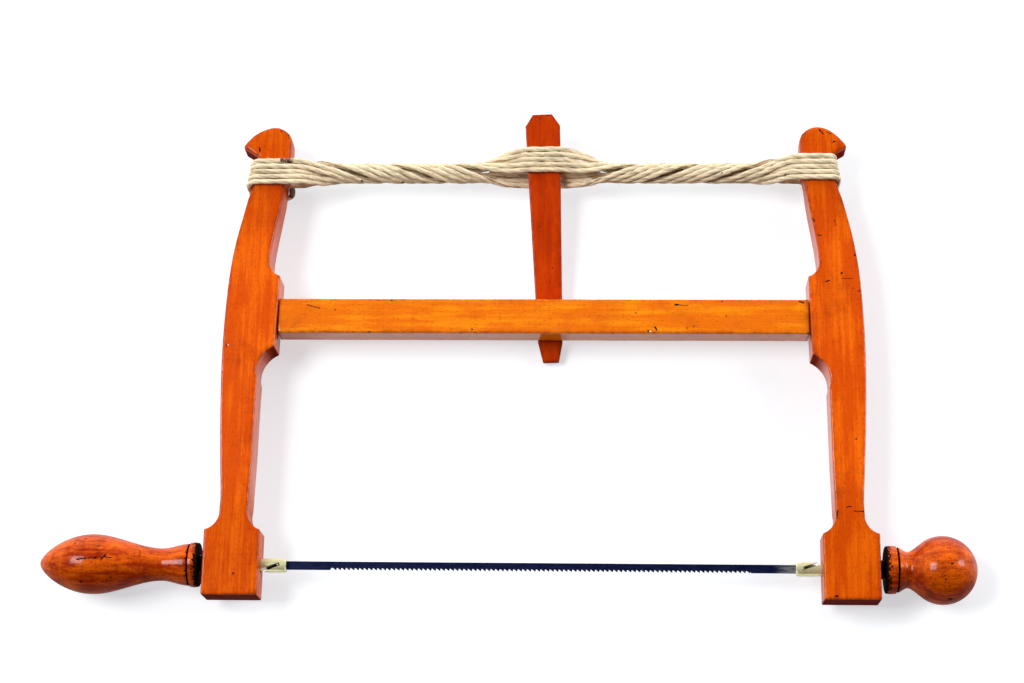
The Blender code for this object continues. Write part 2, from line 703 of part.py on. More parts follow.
def cord_route():
    """Route of the whole cord about its axis: a tail, the loops and an end laid behind the head."""
    behind = -winding_offset()
    tail_x = JOINT_GAP + CORD_RADIUS - HEAD_INNER_X
    tail_y = level_height(-1, -1)
    route = smooth([
        (tail_x, tail_y - TAIL_LENGTH, behind / 2), (tail_x, tail_y - TAIL_LENGTH / 2, behind * 0.8),
        (tail_x - CORD_RADIUS, tail_y - CORD_RADIUS / 2, behind),
        (tail_x - 2 * CORD_DIAMETER, tail_y, behind)], 3)
    for level in range(CORD_LOOPS):
        route += wrap(-1, level, level - 1)[::-1]
        route += strand(level, True)
        route += wrap(1, level, level)
        route += strand(level, False)[::-1]
    last_y = level_height(CORD_LOOPS - 1, -1)
    width = HEAD_OVERHANG + outer_edge_at(CORD_RISE + last_y, -1) - HEAD_ROUND
    for run in (END_LENGTH / 2, END_LENGTH):
        route.append(Vector((-HEAD_INNER_X - run, last_y + REAR_RISE * (1 - run / width), behind)))
    return route


def least_gap(route, diameter):
    """Least clear distance between stretches that aren't neighbours along the cord, and its length."""
    sample_step = diameter / 2
    neighbours = 4 * diameter
    cell = 2 * diameter
    samples = []
    run = 0.0
    for start, end in zip(route, route[1:]):
        length = (end - start).length
        pieces = max(1, int(length / sample_step))
        for i in range(pieces):
            samples.append((run + length * i / pieces, start.lerp(end, i / pieces)))
        run += length
    cells = {}
    for index, (_, point) in enumerate(samples):
        cells.setdefault(tuple(int(v // cell) for v in point), []).append(index)
    least = 1.0
    for (cx, cy, cz), members in cells.items():
        near = []
        for dx in (-1, 0, 1):
            for dy in (-1, 0, 1):
                for dz in (-1, 0, 1):
                    near += cells.get((cx + dx, cy + dy, cz + dz), [])
        for first in members:
            for second in near:
                if samples[second][0] - samples[first][0] > neighbours:
                    least = min(least, (samples[first][1] - samples[second][1]).length)
    return least - diameter, run


def make_cord(parent):
    """One unbroken tube along the whole route."""
    route = cord_route()
    gap, length = least_gap(route, CORD_DIAMETER)
    print(f"cord: {length:.3f} m long, least gap to itself {gap * 1000:.2f} mm")
    curve = bpy.data.curves.new("tension_cord", "CURVE")
    curve.dimensions = "3D"
    curve.bevel_depth = CORD_RADIUS
    curve.bevel_resolution = 1
    curve.use_fill_caps = True
    spline = curve.splines.new("POLY")
    spline.points.add(len(route) - 1)
    for point, place in zip(spline.points, route):
        point.co = (*place, 1)
    obj = add_object("tension_cord", curve, parent)
    finish(obj, TWINE, 0.9)
    return obj


# Assembly

for old in list(bpy.data.objects):
    bpy.data.objects.remove(old)

PARTS = new_collection("bow_saw")
CUTTERS = new_collection("cutters")

lean = toggle_lean()
toggle_head = CORD_RISE + TOGGLE_ABOVE * math.cos(lean) + TOGGLE_THICKNESS / 2 * math.sin(lean)
saw_foot = -BLADE_DROP - KNOB_DIAMETER / 2
middle_x = (KNOB_LENGTH - HANDLE_LENGTH) / 2
middle_y = (toggle_head + saw_foot) / 2
saw = add_empty("saw", None, (-middle_x, -middle_y, KNOB_DIAMETER / 2))
blade_axis = add_empty("blade_axis", saw, (0, -BLADE_DROP, 0))
cord_axis = add_empty("cord_axis", saw, (0, CORD_RISE, 0))
toggle_axis = add_empty("toggle_axis", cord_axis, (0, 0, 0))
toggle_axis.rotation_euler = (lean, 0, 0)

make_stretcher(saw)
make_cheek("left_cheek", -1, saw)
make_cheek("right_cheek", 1, saw)
make_blade(blade_axis)
for hand, label in ((-1, "left"), (1, "right")):
    make_holder(label, hand, blade_axis)
    make_pin(label, hand, blade_axis)
make_handle(blade_axis)
make_knob(blade_axis)
make_toggle(toggle_axis)
make_cord(cord_axis)
bpy.context.view_layer.update()
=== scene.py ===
"""The looks of a beech bow saw: its worn varnish, brass, blued blade and laid twine."""
import math

import bmesh
import bpy
import numpy as np
from mathutils import Matrix, Vector, geometry, noise


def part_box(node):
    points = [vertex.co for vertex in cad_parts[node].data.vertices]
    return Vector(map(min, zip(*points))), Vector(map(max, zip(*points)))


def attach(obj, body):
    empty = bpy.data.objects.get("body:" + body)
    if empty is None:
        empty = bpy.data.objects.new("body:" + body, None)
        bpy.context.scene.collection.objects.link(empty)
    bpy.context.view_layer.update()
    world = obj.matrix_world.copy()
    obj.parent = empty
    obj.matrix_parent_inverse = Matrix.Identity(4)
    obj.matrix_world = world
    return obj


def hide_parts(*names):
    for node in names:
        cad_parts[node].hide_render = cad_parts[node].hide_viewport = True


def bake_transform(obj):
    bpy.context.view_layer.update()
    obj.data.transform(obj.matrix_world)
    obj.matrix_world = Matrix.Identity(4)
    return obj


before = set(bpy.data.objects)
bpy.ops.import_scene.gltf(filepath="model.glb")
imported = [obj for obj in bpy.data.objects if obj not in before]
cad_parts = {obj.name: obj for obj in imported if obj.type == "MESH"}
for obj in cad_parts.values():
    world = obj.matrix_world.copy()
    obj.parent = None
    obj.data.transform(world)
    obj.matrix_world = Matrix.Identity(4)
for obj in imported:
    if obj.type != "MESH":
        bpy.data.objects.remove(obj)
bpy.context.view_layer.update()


# Stretcher
# The crossbar is a planed beech bar with a shouldered stub tenon at each end, which sits dry in
# the cheek's mortise. It is varnished amber, and its arrises are worn and brown.

low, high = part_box("stretcher")
HOME = (low + high) / 2
TENON_LENGTH = 0.0120
TENON_HEIGHT = 0.0150
TENON_THICKNESS = 0.0090
JOINT_GAP = 0.0003
STRETCHER_LENGTH = high.x - low.x - 2 * TENON_LENGTH
STRETCHER_HEIGHT = high.y - low.y
STRETCHER_THICKNESS = high.z - low.z
STRETCHER_EASE = 0.0010
SHOULDER_X = STRETCHER_LENGTH / 2
ALONG_X = (0.0, 0.0, 0.0)
ALONG_Y = (0.0, 0.0, math.radians(-90))
DIRT = (0.014, 0.005, 0.004, 1.0)
# Darkened bands: on the grips they paint shade on the lower half; on the cheeks they darken the wood towards
# the boss and the head.
BAND_DARKENING = (0.83, 0.80, 0.60, 1.0)
BAND_VARNISH = 0.45
SCAR_DIRT = 0.72
DENT_DIRT = 0.60
ROUND_STEPS = 4
OUTLINE_STEP = 0.0016
ARRIS_FADE = 0.0016
WELD_GAP = 1e-7
SOCKETS = {
    "value": "NodeSocketFloat", "vector": "NodeSocketVector", "colour": "NodeSocketColor",
    "count": "NodeSocketInt", "shape": "NodeSocketGeometry", "object": "NodeSocketObject",
    "material": "NodeSocketMaterial"}


def feed(node, inputs):
    """Give a node its inputs; each is a plain value, or the output socket that feeds it."""
    for name, value in inputs.items():
        socket = node.inputs[name]
        if isinstance(value, bpy.types.NodeSocket):
            node.id_data.links.new(value, socket)
        else:
            socket.default_value = value


def place(tree, kind, inputs=None, **options):
    """Add a node, with its options set and its inputs fed."""
    node = tree.nodes.new(kind)
    for name, value in options.items():
        setattr(node, name, value)
    feed(node, inputs or {})
    return node


def tree_of(*values):
    """Node tree of the first socket among some values."""
    return next(value.id_data for value in values if isinstance(value, bpy.types.NodeSocket))


def sums(operation, first, second=0.0, clamp=False):
    """Math node of two values."""
    inputs = {0: first, 1: second}
    node = place(tree_of(first, second), "ShaderNodeMath", inputs, operation=operation, use_clamp=clamp)
    return node.outputs[0]


def times(first, second):
    """Product of two values."""
    return sums("MULTIPLY", first, second)


def vectors(operation, first, second=None, scale=None):
    """Vector math node of one or two vectors, or of a vector and its scale."""
    inputs = {name: value for name, value in ((0, first), (1, second), ("Scale", scale)) if value is not None}
    node = place(tree_of(first, second), "ShaderNodeVectorMath", inputs, operation=operation)
    return node.outputs["Value" if operation in ("LENGTH", "DOT_PRODUCT", "DISTANCE") else "Vector"]


def spread(value, start, end, low=0.0, high=1.0):
    """Smooth rise of a value from low to high between start and end."""
    inputs = {"Value": value, "From Min": start, "From Max": end, "To Min": low, "To Max": high}
    return place(value.id_data, "ShaderNodeMapRange", inputs, interpolation_type="SMOOTHSTEP").outputs[0]


def tint(share, first, second, blend="MIX"):
    """Mix of two colours."""
    tree = tree_of(share, first, second)
    inputs = {0: share, 6: first, 7: second}
    return place(tree, "ShaderNodeMix", inputs, data_type="RGBA", blend_type=blend).outputs[2]


def stretched(at, scale, shift=(0.0, 0.0, 0.0)):
    """Coordinates stretched by a scale on each axis."""
    inputs = {"Vector": at, "Scale": scale, "Location": shift}
    return place(at.id_data, "ShaderNodeMapping", inputs).outputs[0]


def cloudy(at, scale, detail=2.0, roughness=0.5, shift=(0.0, 0.0, 0.0), distortion=0.0):
    """Noise from 0 to 1 over stretched coordinates."""
    return place(at.id_data, "ShaderNodeTexNoise", {
        "Vector": stretched(at, scale, shift), "Scale": 1.0, "Detail": detail, "Roughness": roughness,
        "Distortion": distortion}).outputs["Fac"]


def scattered(at, scale, shift=(0.0, 0.0, 0.0)):
    """Distance to the nearest of many scattered spots, and that spot's own number from 0 to 1."""
    cells = place(at.id_data, "ShaderNodeTexVoronoi", {
        "Vector": stretched(at, scale, shift), "Scale": 1.0, "Randomness": 1.0}).outputs
    number = place(at.id_data, "ShaderNodeSeparateColor", {"Color": cells["Color"]}).outputs[0]
    return cells["Distance"], number


def painted(tree, title):
    """Mask stored on the piece's mesh."""
    return place(tree, "ShaderNodeAttribute", attribute_name=title).outputs["Fac"]


def bumped(height, strength, distance):
    """Normal that follows a height."""
    inputs = {"Strength": strength, "Distance": distance, "Height": height}
    return place(height.id_data, "ShaderNodeBump", inputs).outputs[0]


def new_group(name, inputs, outputs, kind="ShaderNodeTree"):
    """Empty node group with named sockets; returns it with what it is given and the node for its results."""
    tree = bpy.data.node_groups.new(name, kind)
    for in_out, sockets in (("INPUT", inputs), ("OUTPUT", outputs)):
        for title, holds in sockets.items():
            tree.interface.new_socket(title, in_out=in_out, socket_type=SOCKETS[holds])
    return tree, tree.nodes.new("NodeGroupInput").outputs, tree.nodes.new("NodeGroupOutput")


def new_material(name):
    """Plain material; returns it with its node tree and shader."""
    material = bpy.data.materials.new(name)
    material.use_nodes = True
    return material, material.node_tree, material.node_tree.nodes["Principled BSDF"]


def beech_figure():
    """Group for the wood: streaks and bands along the grain, soft patches, and many short dark rays."""
    tree, given, result = new_group(
        "beech_figure",
        {"Grain": "vector", "Pale": "colour", "Deep": "colour", "Streaks": "value", "Patches": "value",
         "Rays": "value"},
        {"Color": "colour", "Height": "value"})
    grain = given["Grain"]
    streak = cloudy(grain, (0.012, 0.34, 0.34), 6.0, 0.64, distortion=0.25)
    pores = cloudy(grain, (0.10, 2.4, 2.4), 3.0, 0.7)
    patch = cloudy(grain, (0.030, 0.085, 0.085), 4.0, 0.60, shift=(3.1, 7.7, 1.9))
    rays = []
    for across, along, least in ((1.25, 0.34, 0.30), (2.1, 0.55, 0.50)):
        gap, chosen = scattered(grain, (along, across, across), (across, 0.0, 0.0))
        rays.append(times(spread(gap, 0.14, 0.42, 1.0, 0.0), spread(chosen, least, least + 0.4)))
    ray = sums("MAXIMUM", *rays)
    shade = times(spread(streak, 0.36, 0.66), given["Streaks"])
    shade = sums("ADD", shade, times(spread(patch, 0.38, 0.66), given["Patches"]))
    shade = sums("ADD", shade, spread(pores, 0.40, 0.70, 0.0, 0.22), clamp=True)
    dark = tint(1.0, given["Deep"], (0.62, 0.42, 0.35, 1.0), "MULTIPLY")
    colour = tint(times(ray, given["Rays"]), tint(shade, given["Pale"], given["Deep"]), dark)
    feed(result, {"Color": colour, "Height": sums("SUBTRACT", times(pores, 0.5), times(ray, 0.35))})
    return tree


def long_use():
    """Group for wear: browned arrises, black grime, end grain, dark specks and smudged patches."""
    tree, given, result = new_group(
        "long_use",
        {"Place": "vector", "Color": "colour", "Dirt": "colour", "Arris": "value", "Grime": "value",
         "End Grain": "value", "Specks": "value", "Smudges": "value"},
        {"Color": "colour", "Roughness": "value", "Height": "value", "Varnish": "value"})
    at = given["Place"]
    ragged = cloudy(at, (0.20, 0.20, 0.20), 5.0, 0.68)
    cloud = cloudy(at, (0.055, 0.055, 0.055), 6.0, 0.66, shift=(5.2, 1.3, 8.8))
    masks = []
    for scale, share, size in ((0.13, 0.66, 0.085), (0.42, 0.72, 0.11)):
        gap, chosen = scattered(at, (scale, scale, scale))
        gap = sums("ADD", gap, times(sums("SUBTRACT", ragged, 0.5), 0.06))
        masks.append(spread(sums("SUBTRACT", spread(chosen, share, 1.0, 0.0, size), gap), -0.012, 0.02))
    speck = times(sums("MAXIMUM", *masks), given["Specks"])
    smudge = times(spread(cloud, 0.50, 0.74), given["Smudges"])
    worn = times(given["Arris"], spread(ragged, 0.34, 0.66))
    brown = sums("ADD", times(worn, 0.55), smudge, clamp=True)
    deep = tint(1.0, given["Color"], (0.34, 0.20, 0.30, 1.0), "MULTIPLY")
    end_grain = tint(1.0, given["Color"], (0.28, 0.14, 0.12, 1.0), "MULTIPLY")
    colour = tint(given["End Grain"], tint(brown, given["Color"], deep), end_grain)
    mottle = times(sums("SUBTRACT", cloudy(at, (0.8, 0.8, 0.8), 3.0), 0.5), 1.3)
    grime = spread(sums("ADD", given["Grime"], mottle), 0.40, 0.62)
    dirt = sums("MAXIMUM", grime, times(speck, 0.85))
    dull = sums("MAXIMUM", dirt, given["End Grain"])
    feed(result, {
        "Color": tint(dirt, colour, given["Dirt"]),
        "Roughness": sums("ADD", spread(cloud, 0.30, 0.75, 0.30, 0.46), times(dull, 0.4), clamp=True),
        "Height": times(sums("ADD", speck, worn), -1.0), "Varnish": sums("SUBTRACT", 1.0, dull, clamp=True)})
    return tree


def scar():
    """Group for one dark line: a knock or scratch on the wood, or a stain or painted shade on the twine,
    ragged along a line between two places on the surface.
    """
    tree, given, result = new_group(
        "scar", {"Place": "vector", "From": "vector", "To": "vector", "Width": "value"}, {"Mask": "value"})
    line = vectors("SUBTRACT", given["To"], given["From"])
    offset = vectors("SUBTRACT", given["Place"], given["From"])
    length = sums("MAXIMUM", vectors("DOT_PRODUCT", line, line), 1e-9)
    share = sums("DIVIDE", vectors("DOT_PRODUCT", offset, line), length, clamp=True)
    gap = vectors("LENGTH", vectors("SUBTRACT", offset, vectors("SCALE", line, scale=share)))
    ragged = cloudy(given["Place"], (900.0, 900.0, 900.0), 3.0)
    gap = sums("DIVIDE", gap, times(given["Width"], spread(ragged, 0.3, 0.7, 0.60, 1.4)))
    feed(result, {"Mask": spread(gap, 0.55, 1.1, 1.0, 0.0)})
    return tree


BEECH_FIGURE = beech_figure()
LONG_USE = long_use()
DARK_LINE = scar()


def with_dark_lines(mask, at, dark_lines, strength):
    """Mask with dark lines added, each (from, to, width) in the saw's frame: knocks and scratches on the wood,
    stains and painted shade on the twine.
    """
    for start, end, width in dark_lines:
        mark = place(at.id_data, "ShaderNodeGroup", node_tree=DARK_LINE)
        feed(mark, {"Place": at, "From": HOME + Vector(start), "To": HOME + Vector(end), "Width": width})
        mask = sums("MAXIMUM", mask, times(mark.outputs[0], strength))
    return mask


def varnished_beech(
        name, pale, deep, grain, shift, coat, streaks, patches, rays, specks, smudges, dark_lines=(), darkened_bands=()):
    """Material of one wooden piece, with the grain along its length and its own part of the tree.

    Each darkened band, (clear, dark), darkens the piece and thins its varnish from the clear height to the
    dark one.
    """
    material, tree, shader = new_material(name)
    at = place(tree, "ShaderNodeTexCoord").outputs["Object"]
    turned_grain = place(tree, "ShaderNodeMapping", {
        "Vector": at, "Rotation": grain, "Scale": (1000.0, 1000.0, 1000.0), "Location": shift}).outputs[0]
    wood = place(tree, "ShaderNodeGroup", {
        "Grain": turned_grain, "Pale": (*pale, 1.0), "Deep": (*deep, 1.0), "Streaks": streaks,
        "Patches": patches, "Rays": rays}, node_tree=BEECH_FIGURE).outputs
    use = place(tree, "ShaderNodeGroup", {
        "Place": turned_grain, "Color": wood["Color"], "Dirt": DIRT, "Arris": painted(tree, "arris"),
        "Grime": with_dark_lines(painted(tree, "grime"), at, dark_lines, SCAR_DIRT),
        "End Grain": painted(tree, "end_grain"), "Specks": specks, "Smudges": smudges},
        node_tree=LONG_USE).outputs
    colour, varnish = use["Color"], use["Varnish"]
    # Each band multiplies the colour darker and thins the coat; on the grips this is painted shade.
    for clear, dark in darkened_bands:
        rise = place(tree, "ShaderNodeSeparateXYZ", {"Vector": at}).outputs[1]
        share = spread(rise, min(clear, dark), max(clear, dark), float(clear > dark), float(dark > clear))
        colour = tint(share, colour, tint(1.0, colour, BAND_DARKENING, "MULTIPLY"))
        varnish = times(varnish, spread(share, 0.0, 1.0, 1.0, BAND_VARNISH))
    height = sums("ADD", times(wood["Height"], 0.35), use["Height"])
    feed(shader, {
        "Base Color": colour, "Roughness": use["Roughness"], "Normal": bumped(height, 0.30, 0.00025),
        "Coat Weight": times(varnish, coat), "Coat Roughness": 0.13, "Specular IOR Level": 0.02})
    return material


def round_off(outline, radius):
    """Outline with each sharp corner turned into a small arc."""
    rounded = []
    count = len(outline)
    for i, corner in enumerate(outline):
        before, after = outline[i - 1] - corner, outline[(i + 1) % count] - corner
        turn = math.pi - before.angle(after)
        if turn < math.radians(28):
            rounded.append(corner)
            continue
        reach = min(radius * math.tan(turn / 2), 0.45 * before.length, 0.45 * after.length)
        first, last = corner + before.normalized() * reach, corner + after.normalized() * reach
        for j in range(ROUND_STEPS + 1):
            t = j / ROUND_STEPS
            rounded.append(first.lerp(corner, t).lerp(corner.lerp(last, t), t))
    return rounded


def evenly(outline, step):
    """Closed outline with extra points, so that no side is longer than the step."""
    points = []
    for start, end in zip(outline, outline[1:] + outline[:1]):
        pieces = max(1, math.ceil((end - start).length / step))
        points += [start.lerp(end, i / pieces) for i in range(pieces)]
    return points


def edge_distance(points, outline):
    """Distance of each point from the nearest side of the outline."""
    start = np.array(outline)
    side = np.roll(start, -1, axis=0) - start
    squared = (side ** 2).sum(1)
    nearest = []
    for chunk in np.array_split(np.array(points), max(1, len(points) // 1500)):
        offset = chunk[:, None, :] - start[None]
        share = np.clip((offset * side).sum(2) / squared, 0, 1)
        nearest.append(np.sqrt(((offset - share[..., None] * side) ** 2).sum(2)).min(1))
    return np.concatenate(nearest)


def inside(points, outline):
    """Which points lie inside the outline."""
    start = np.array(outline)
    end = np.roll(start, -1, axis=0)
    x, y = np.array(points)[:, 0:1], np.array(points)[:, 1:2]
    crosses = (start[:, 1] > y) != (end[:, 1] > y)
    rise = np.where(end[:, 1] == start[:, 1], 1e-12, end[:, 1] - start[:, 1])
    at = start[:, 0] + (y - start[:, 1]) / rise * (end[:, 0] - start[:, 0])
    return (crosses & (x < at)).sum(1) % 2 == 1


def board(name, outline, half_thickness, rounding, dents=(), grid=0.0030, grain=(0, 1)):
    """Mesh of a board cut to an outline, its arrises rounded over and its dents pressed in.

    The rounding of a face at a place is (how far it comes in, how far it goes down the side). The arris
    attribute is 1 on the rounded edges and fades out over the faces; grime is 1 in the dents, and end_grain
    where a side cuts across the grain. A dent is (x, y, radius, depth, face), with face 1 for the front and
    -1 for the rear.
    """
    outline = evenly([Vector(p) for p in outline], OUTLINE_STEP)
    count = len(outline)
    normals = []
    for i, point in enumerate(outline):
        along = (outline[(i + 1) % count] - outline[i - 1]).normalized()
        normals.append(Vector((-along.y, along.x)))
    points = list(outline)
    widest = max(rounding(p.x, p.y, face)[0] for p in outline for face in (1, -1))
    ends = [max(0.0, min(1.0, (abs(n.dot(Vector(grain))) - 0.45) / 0.35)) for n in normals]
    rings = [widest * (1 - math.cos(math.radians(a))) for a in (15, 28, 42, 58, 90)]
    rings += [widest + 0.0012, widest + 0.003]
    for order, depth in enumerate(rings):
        skip = 1 if order < 5 else 2
        ring = [outline[i] + normals[i] * depth for i in range(0, count, skip)]
        clear = edge_distance(ring, outline)
        within = inside(ring, outline)
        points += [p for p, gap, ok in zip(ring, clear, within) if ok and gap > 0.96 * depth]
    xs, ys = [p.x for p in outline], [p.y for p in outline]
    field = []
    row = 0
    y = min(ys)
    while y < max(ys):
        x = min(xs) + (grid / 2 if row % 2 else 0)
        while x < max(xs):
            field.append(Vector((x, y)))
            x += grid
        y += grid * 0.866
        row += 1
    for x, y, radius, _, _ in dents:
        field.append(Vector((x, y)))
        for share, spokes in ((0.35, 6), (0.7, 10), (1.0, 14)):
            reach = share * radius
            angles = [2 * math.pi * i / spokes for i in range(spokes)]
            field += [Vector((x + reach * math.cos(a), y + reach * math.sin(a))) for a in angles]
    clear = edge_distance(field, outline)
    within = inside(field, outline)
    points += [p for p, gap, ok in zip(field, clear, within) if ok and gap > 0.0004]
    flat, _, triangles, _, _, _ = geometry.delaunay_2d_cdt(points, [], [list(range(count))], 1, WELD_GAP)
    depths = edge_distance(flat, outline)

    bm = bmesh.new()
    arris, grime, end_grain = (bm.verts.layers.float.new(title) for title in ("arris", "grime", "end_grain"))
    faces = {}
    for side in (1, -1):
        verts = []
        for point, depth in zip(flat, depths):
            inset, drop = rounding(point.x, point.y, side)
            lost = max(0.0, 1 - depth / inset)
            z = half_thickness(point.y) - drop * (1 - math.sqrt(max(0.0, 1 - lost * lost)))
            dirt = 0.0
            for x, y, size, press, face in dents:
                near = math.hypot(point.x - x, point.y - y) / size
                if face == side and near < 1:
                    z -= press * (1 - near * near) ** 2
                    dirt = max(dirt, DENT_DIRT * (1 - near * near))
            vert = bm.verts.new((point.x, point.y, side * z))
            vert[arris] = max(0.0, 1 - max(0.0, depth - 0.5 * inset) / ARRIS_FADE)
            vert[grime] = dirt
            verts.append(vert)
        faces[side] = verts
        for triangle in triangles:
            corners = [verts[i] for i in triangle]
            bm.faces.new(corners if side == 1 else corners[::-1])
    rim = [min(range(len(flat)), key=lambda i, p=p: (flat[i] - p).length_squared) for p in outline]
    for i, end in zip(rim, ends):
        faces[1][i][end_grain] = faces[-1][i][end_grain] = end
    rows = [[faces[1][i] for i in rim]]
    for share, face in ((0.78, 1), (0.0, 1), (0.78, -1)):
        wall = []
        for i, end in zip(rim, ends):
            vert = bm.verts.new((flat[i].x, flat[i].y, faces[face][i].co.z * share))
            vert[arris] = 0.25 if share else 0.0
            vert[end_grain] = end
            wall.append(vert)
        rows.append(wall)
    rows.append([faces[-1][i] for i in rim])
    for upper, lower in zip(rows, rows[1:]):
        for i in range(count):
            j = (i + 1) % count
            bm.faces.new((upper[j], upper[i], lower[i], lower[j]))
    bmesh.ops.remove_doubles(bm, verts=bm.verts, dist=WELD_GAP)
    return finished(name, bm, crease=42)


def finished(name, bm, crease=0):
    """Mesh of a bmesh, its faces turned outward; with a crease in degrees, smooth up to that angle."""
    bmesh.ops.recalc_face_normals(bm, faces=bm.faces)
    mesh = bpy.data.meshes.new(name)
    bm.to_mesh(mesh)
    bm.free()
    if crease:
        mesh.shade_smooth()
        mesh.set_sharp_from_angle(angle=math.radians(crease))
    return mesh


def put(name, data):
    """New object in the scene."""
    obj = bpy.data.objects.new(name, data)
    bpy.context.scene.collection.objects.link(obj)
    return obj


def settled(obj, name):
    """Plain mesh of an object with its modifiers, in place of the object."""
    mesh = bpy.data.meshes.new_from_object(obj.evaluated_get(bpy.context.evaluated_depsgraph_get()))
    mesh.name = name
    bpy.data.objects.remove(obj)
    return mesh


def cut(mesh, tool, operation="DIFFERENCE"):
    """Mesh after a boolean with a tool's mesh; both are in the saw's own frame."""
    target, cutter = put("target", mesh), put("cutter", tool)
    modifier = target.modifiers.new("cut", "BOOLEAN")
    modifier.operation = operation
    modifier.object = cutter
    shaped = settled(target, mesh.name)
    bpy.data.objects.remove(cutter)
    return shaped


def block(size, at=(0, 0, 0)):
    """Mesh of a plain block about a point."""
    bm = bmesh.new()
    bmesh.ops.create_cube(bm, size=1.0)
    bmesh.ops.scale(bm, vec=size, verts=bm.verts)
    bmesh.ops.translate(bm, vec=at, verts=bm.verts)
    return finished("block", bm)


def dress(name, mesh, material, slot, body, *nodes):
    """Put a finished piece in the scene, on its body, in place of its nodes."""
    mesh.transform(Matrix.Translation(HOME))
    mesh.materials.clear()
    mesh.materials.append(material)
    obj = put(name, mesh)
    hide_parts(*nodes)
    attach(obj, body)


def worn_rounding(radius, seed):
    """Rounding of an arris, a little uneven from long use."""
    def at(x, y, _):
        uneven = radius * (1 + 0.22 * noise.noise(Vector((x * 70, y * 70, seed))))
        return uneven, uneven
    return at


half_length, half_height = STRETCHER_LENGTH / 2, STRETCHER_HEIGHT / 2
bar_outline = [(-half_length, -half_height), (half_length, -half_height), (half_length, half_height),
               (-half_length, half_height)]
bar_dents = [(-0.0985, 0.0098, 0.0016, 0.0005, 1), (0.0635, -0.0096, 0.0020, 0.0006, 1),
             (0.1080, 0.0090, 0.0013, 0.0004, 1), (-0.0420, -0.0085, 0.0012, 0.0003, 1),
             (0.0560, 0.0020, 0.0010, 0.0002, 1), (0.0905, -0.0065, 0.0012, 0.0003, 1),
             (-0.1320, -0.0092, 0.0016, 0.0005, -1), (0.0300, 0.0095, 0.0018, 0.0005, -1)]
stretcher_mesh = board(
    "stretcher", bar_outline, lambda y: STRETCHER_THICKNESS / 2, worn_rounding(STRETCHER_EASE, 3.7), bar_dents,
    grain=(1, 0))
tenons = block((STRETCHER_LENGTH + 2 * TENON_LENGTH, TENON_HEIGHT, TENON_THICKNESS))
stretcher_mesh = cut(stretcher_mesh, tenons, "UNION")
BAR_SCARS = (
    ((-0.1416, 0.0066, 0.0083), (-0.1345, 0.0046, 0.0083), 0.0004),
    ((-0.1250, 0.0034, 0.0083), (-0.1248, 0.0034, 0.0083), 0.0005),
    ((-0.1054, -0.0103, 0.0083), (-0.1031, -0.0103, 0.0083), 0.0005),
    ((-0.0911, 0.0097, 0.0083), (-0.0907, 0.0095, 0.0083), 0.0006),
    ((0.0797, 0.0071, 0.0083), (0.0815, 0.0070, 0.0083), 0.0008),
    ((0.0815, 0.0070, 0.0083), (0.0871, 0.0067, 0.0083), 0.0003),
    ((0.1533, 0.0095, 0.0083), (0.1558, 0.0086, 0.0083), 0.0005),
    ((0.0671, -0.0066, 0.0083), (0.0682, -0.0084, 0.0083), 0.0006))
AMBER_BEECH = varnished_beech(
    "amber_beech", (1.00, 0.295, 0.004), (0.84, 0.165, 0.003), ALONG_X, (0.0, 41.0, 13.0), 1.00,
    streaks=0.85, patches=0.75, rays=0.60, specks=0.7, smudges=0.25, dark_lines=BAR_SCARS)
dress("stretcher_bar", stretcher_mesh, AMBER_BEECH, "stretcher_wood", "frame", "stretcher")


# Cheeks
# Each cheek is sawn from a beech board to a long double curve, with a block where the stretcher's
# tenon enters, a square boss for the blade holder and a hooked head that keeps the cord from
# slipping off. The heads are thinned and rounded, and the varnish has darkened on every arris.

BLADE_DROP = 0.1510
CORD_RISE = 0.0945
CHEEK_THICKNESS = 0.0220
HEAD_THICKNESS = 0.0170
THINNING_START = 0.0400
CHEEK_EASE = 0.0010
HEAD_ROUND = (0.0024, 0.0048)
BOSS_REAR_ROUND = (0.0020, 0.0028)
BLOCK_RISE = 0.0245
BLOCK_LEAN = 0.0280
BLOCK_DROP = {-1: 0.0198, 1: 0.0238}
HOOK_REACH = {-1: 0.0266, 1: 0.0254}
THROAT_INSET = {-1: 0.0004, 1: 0.0024}
BOSS_SETBACK = 0.0045
BOSS_WIDTH = 0.0328
BOSS_HEIGHT = 0.0385
HEAD_OVERHANG = 0.0032
HEAD_HEIGHT = 0.0282
CORNER_ROUND = 0.0010
HOLDER_DIAMETER = 0.0081


def smooth(points, steps):
    """Points along a smooth curve through the given ones, both ends included."""
    knots = [Vector(p) for p in points]
    last = len(knots) - 1
    slopes = [(knots[min(i + 1, last)] - knots[max(i - 1, 0)]).normalized() for i in range(last + 1)]
    curve = []
    for i in range(last):
        span = (knots[i + 1] - knots[i]).length
        for j in range(steps):
            t = j / steps
            rise = t * t * (3 - 2 * t)
            start = span * t * (1 - t) ** 2
            end = span * t * t * (t - 1)
            curve.append(knots[i].lerp(knots[i + 1], rise) + slopes[i] * start + slopes[i + 1] * end)
    curve.append(knots[last])
    return curve


def arc(start, end, sagitta, steps):
    """Points on an arc; a positive sagitta bows it to the left of its travel."""
    start, end = Vector(start), Vector(end)
    chord = end - start
    half = chord.length / 2
    left = Vector((-chord.y, chord.x)).normalized()
    radius = (half * half + sagitta * sagitta) / (2 * sagitta)
    centre = (start + end) / 2 + left * (sagitta - radius)
    sweep = 2 * math.asin(half / abs(radius)) * math.copysign(1, -sagitta)
    return [centre + Matrix.Rotation(sweep * i / steps, 2) @ (start - centre) for i in range(steps + 1)]


def ease(t):
    """Smooth step from 0 to 1."""
    t = min(max(t, 0.0), 1.0)
    return t * t * (3 - 2 * t)


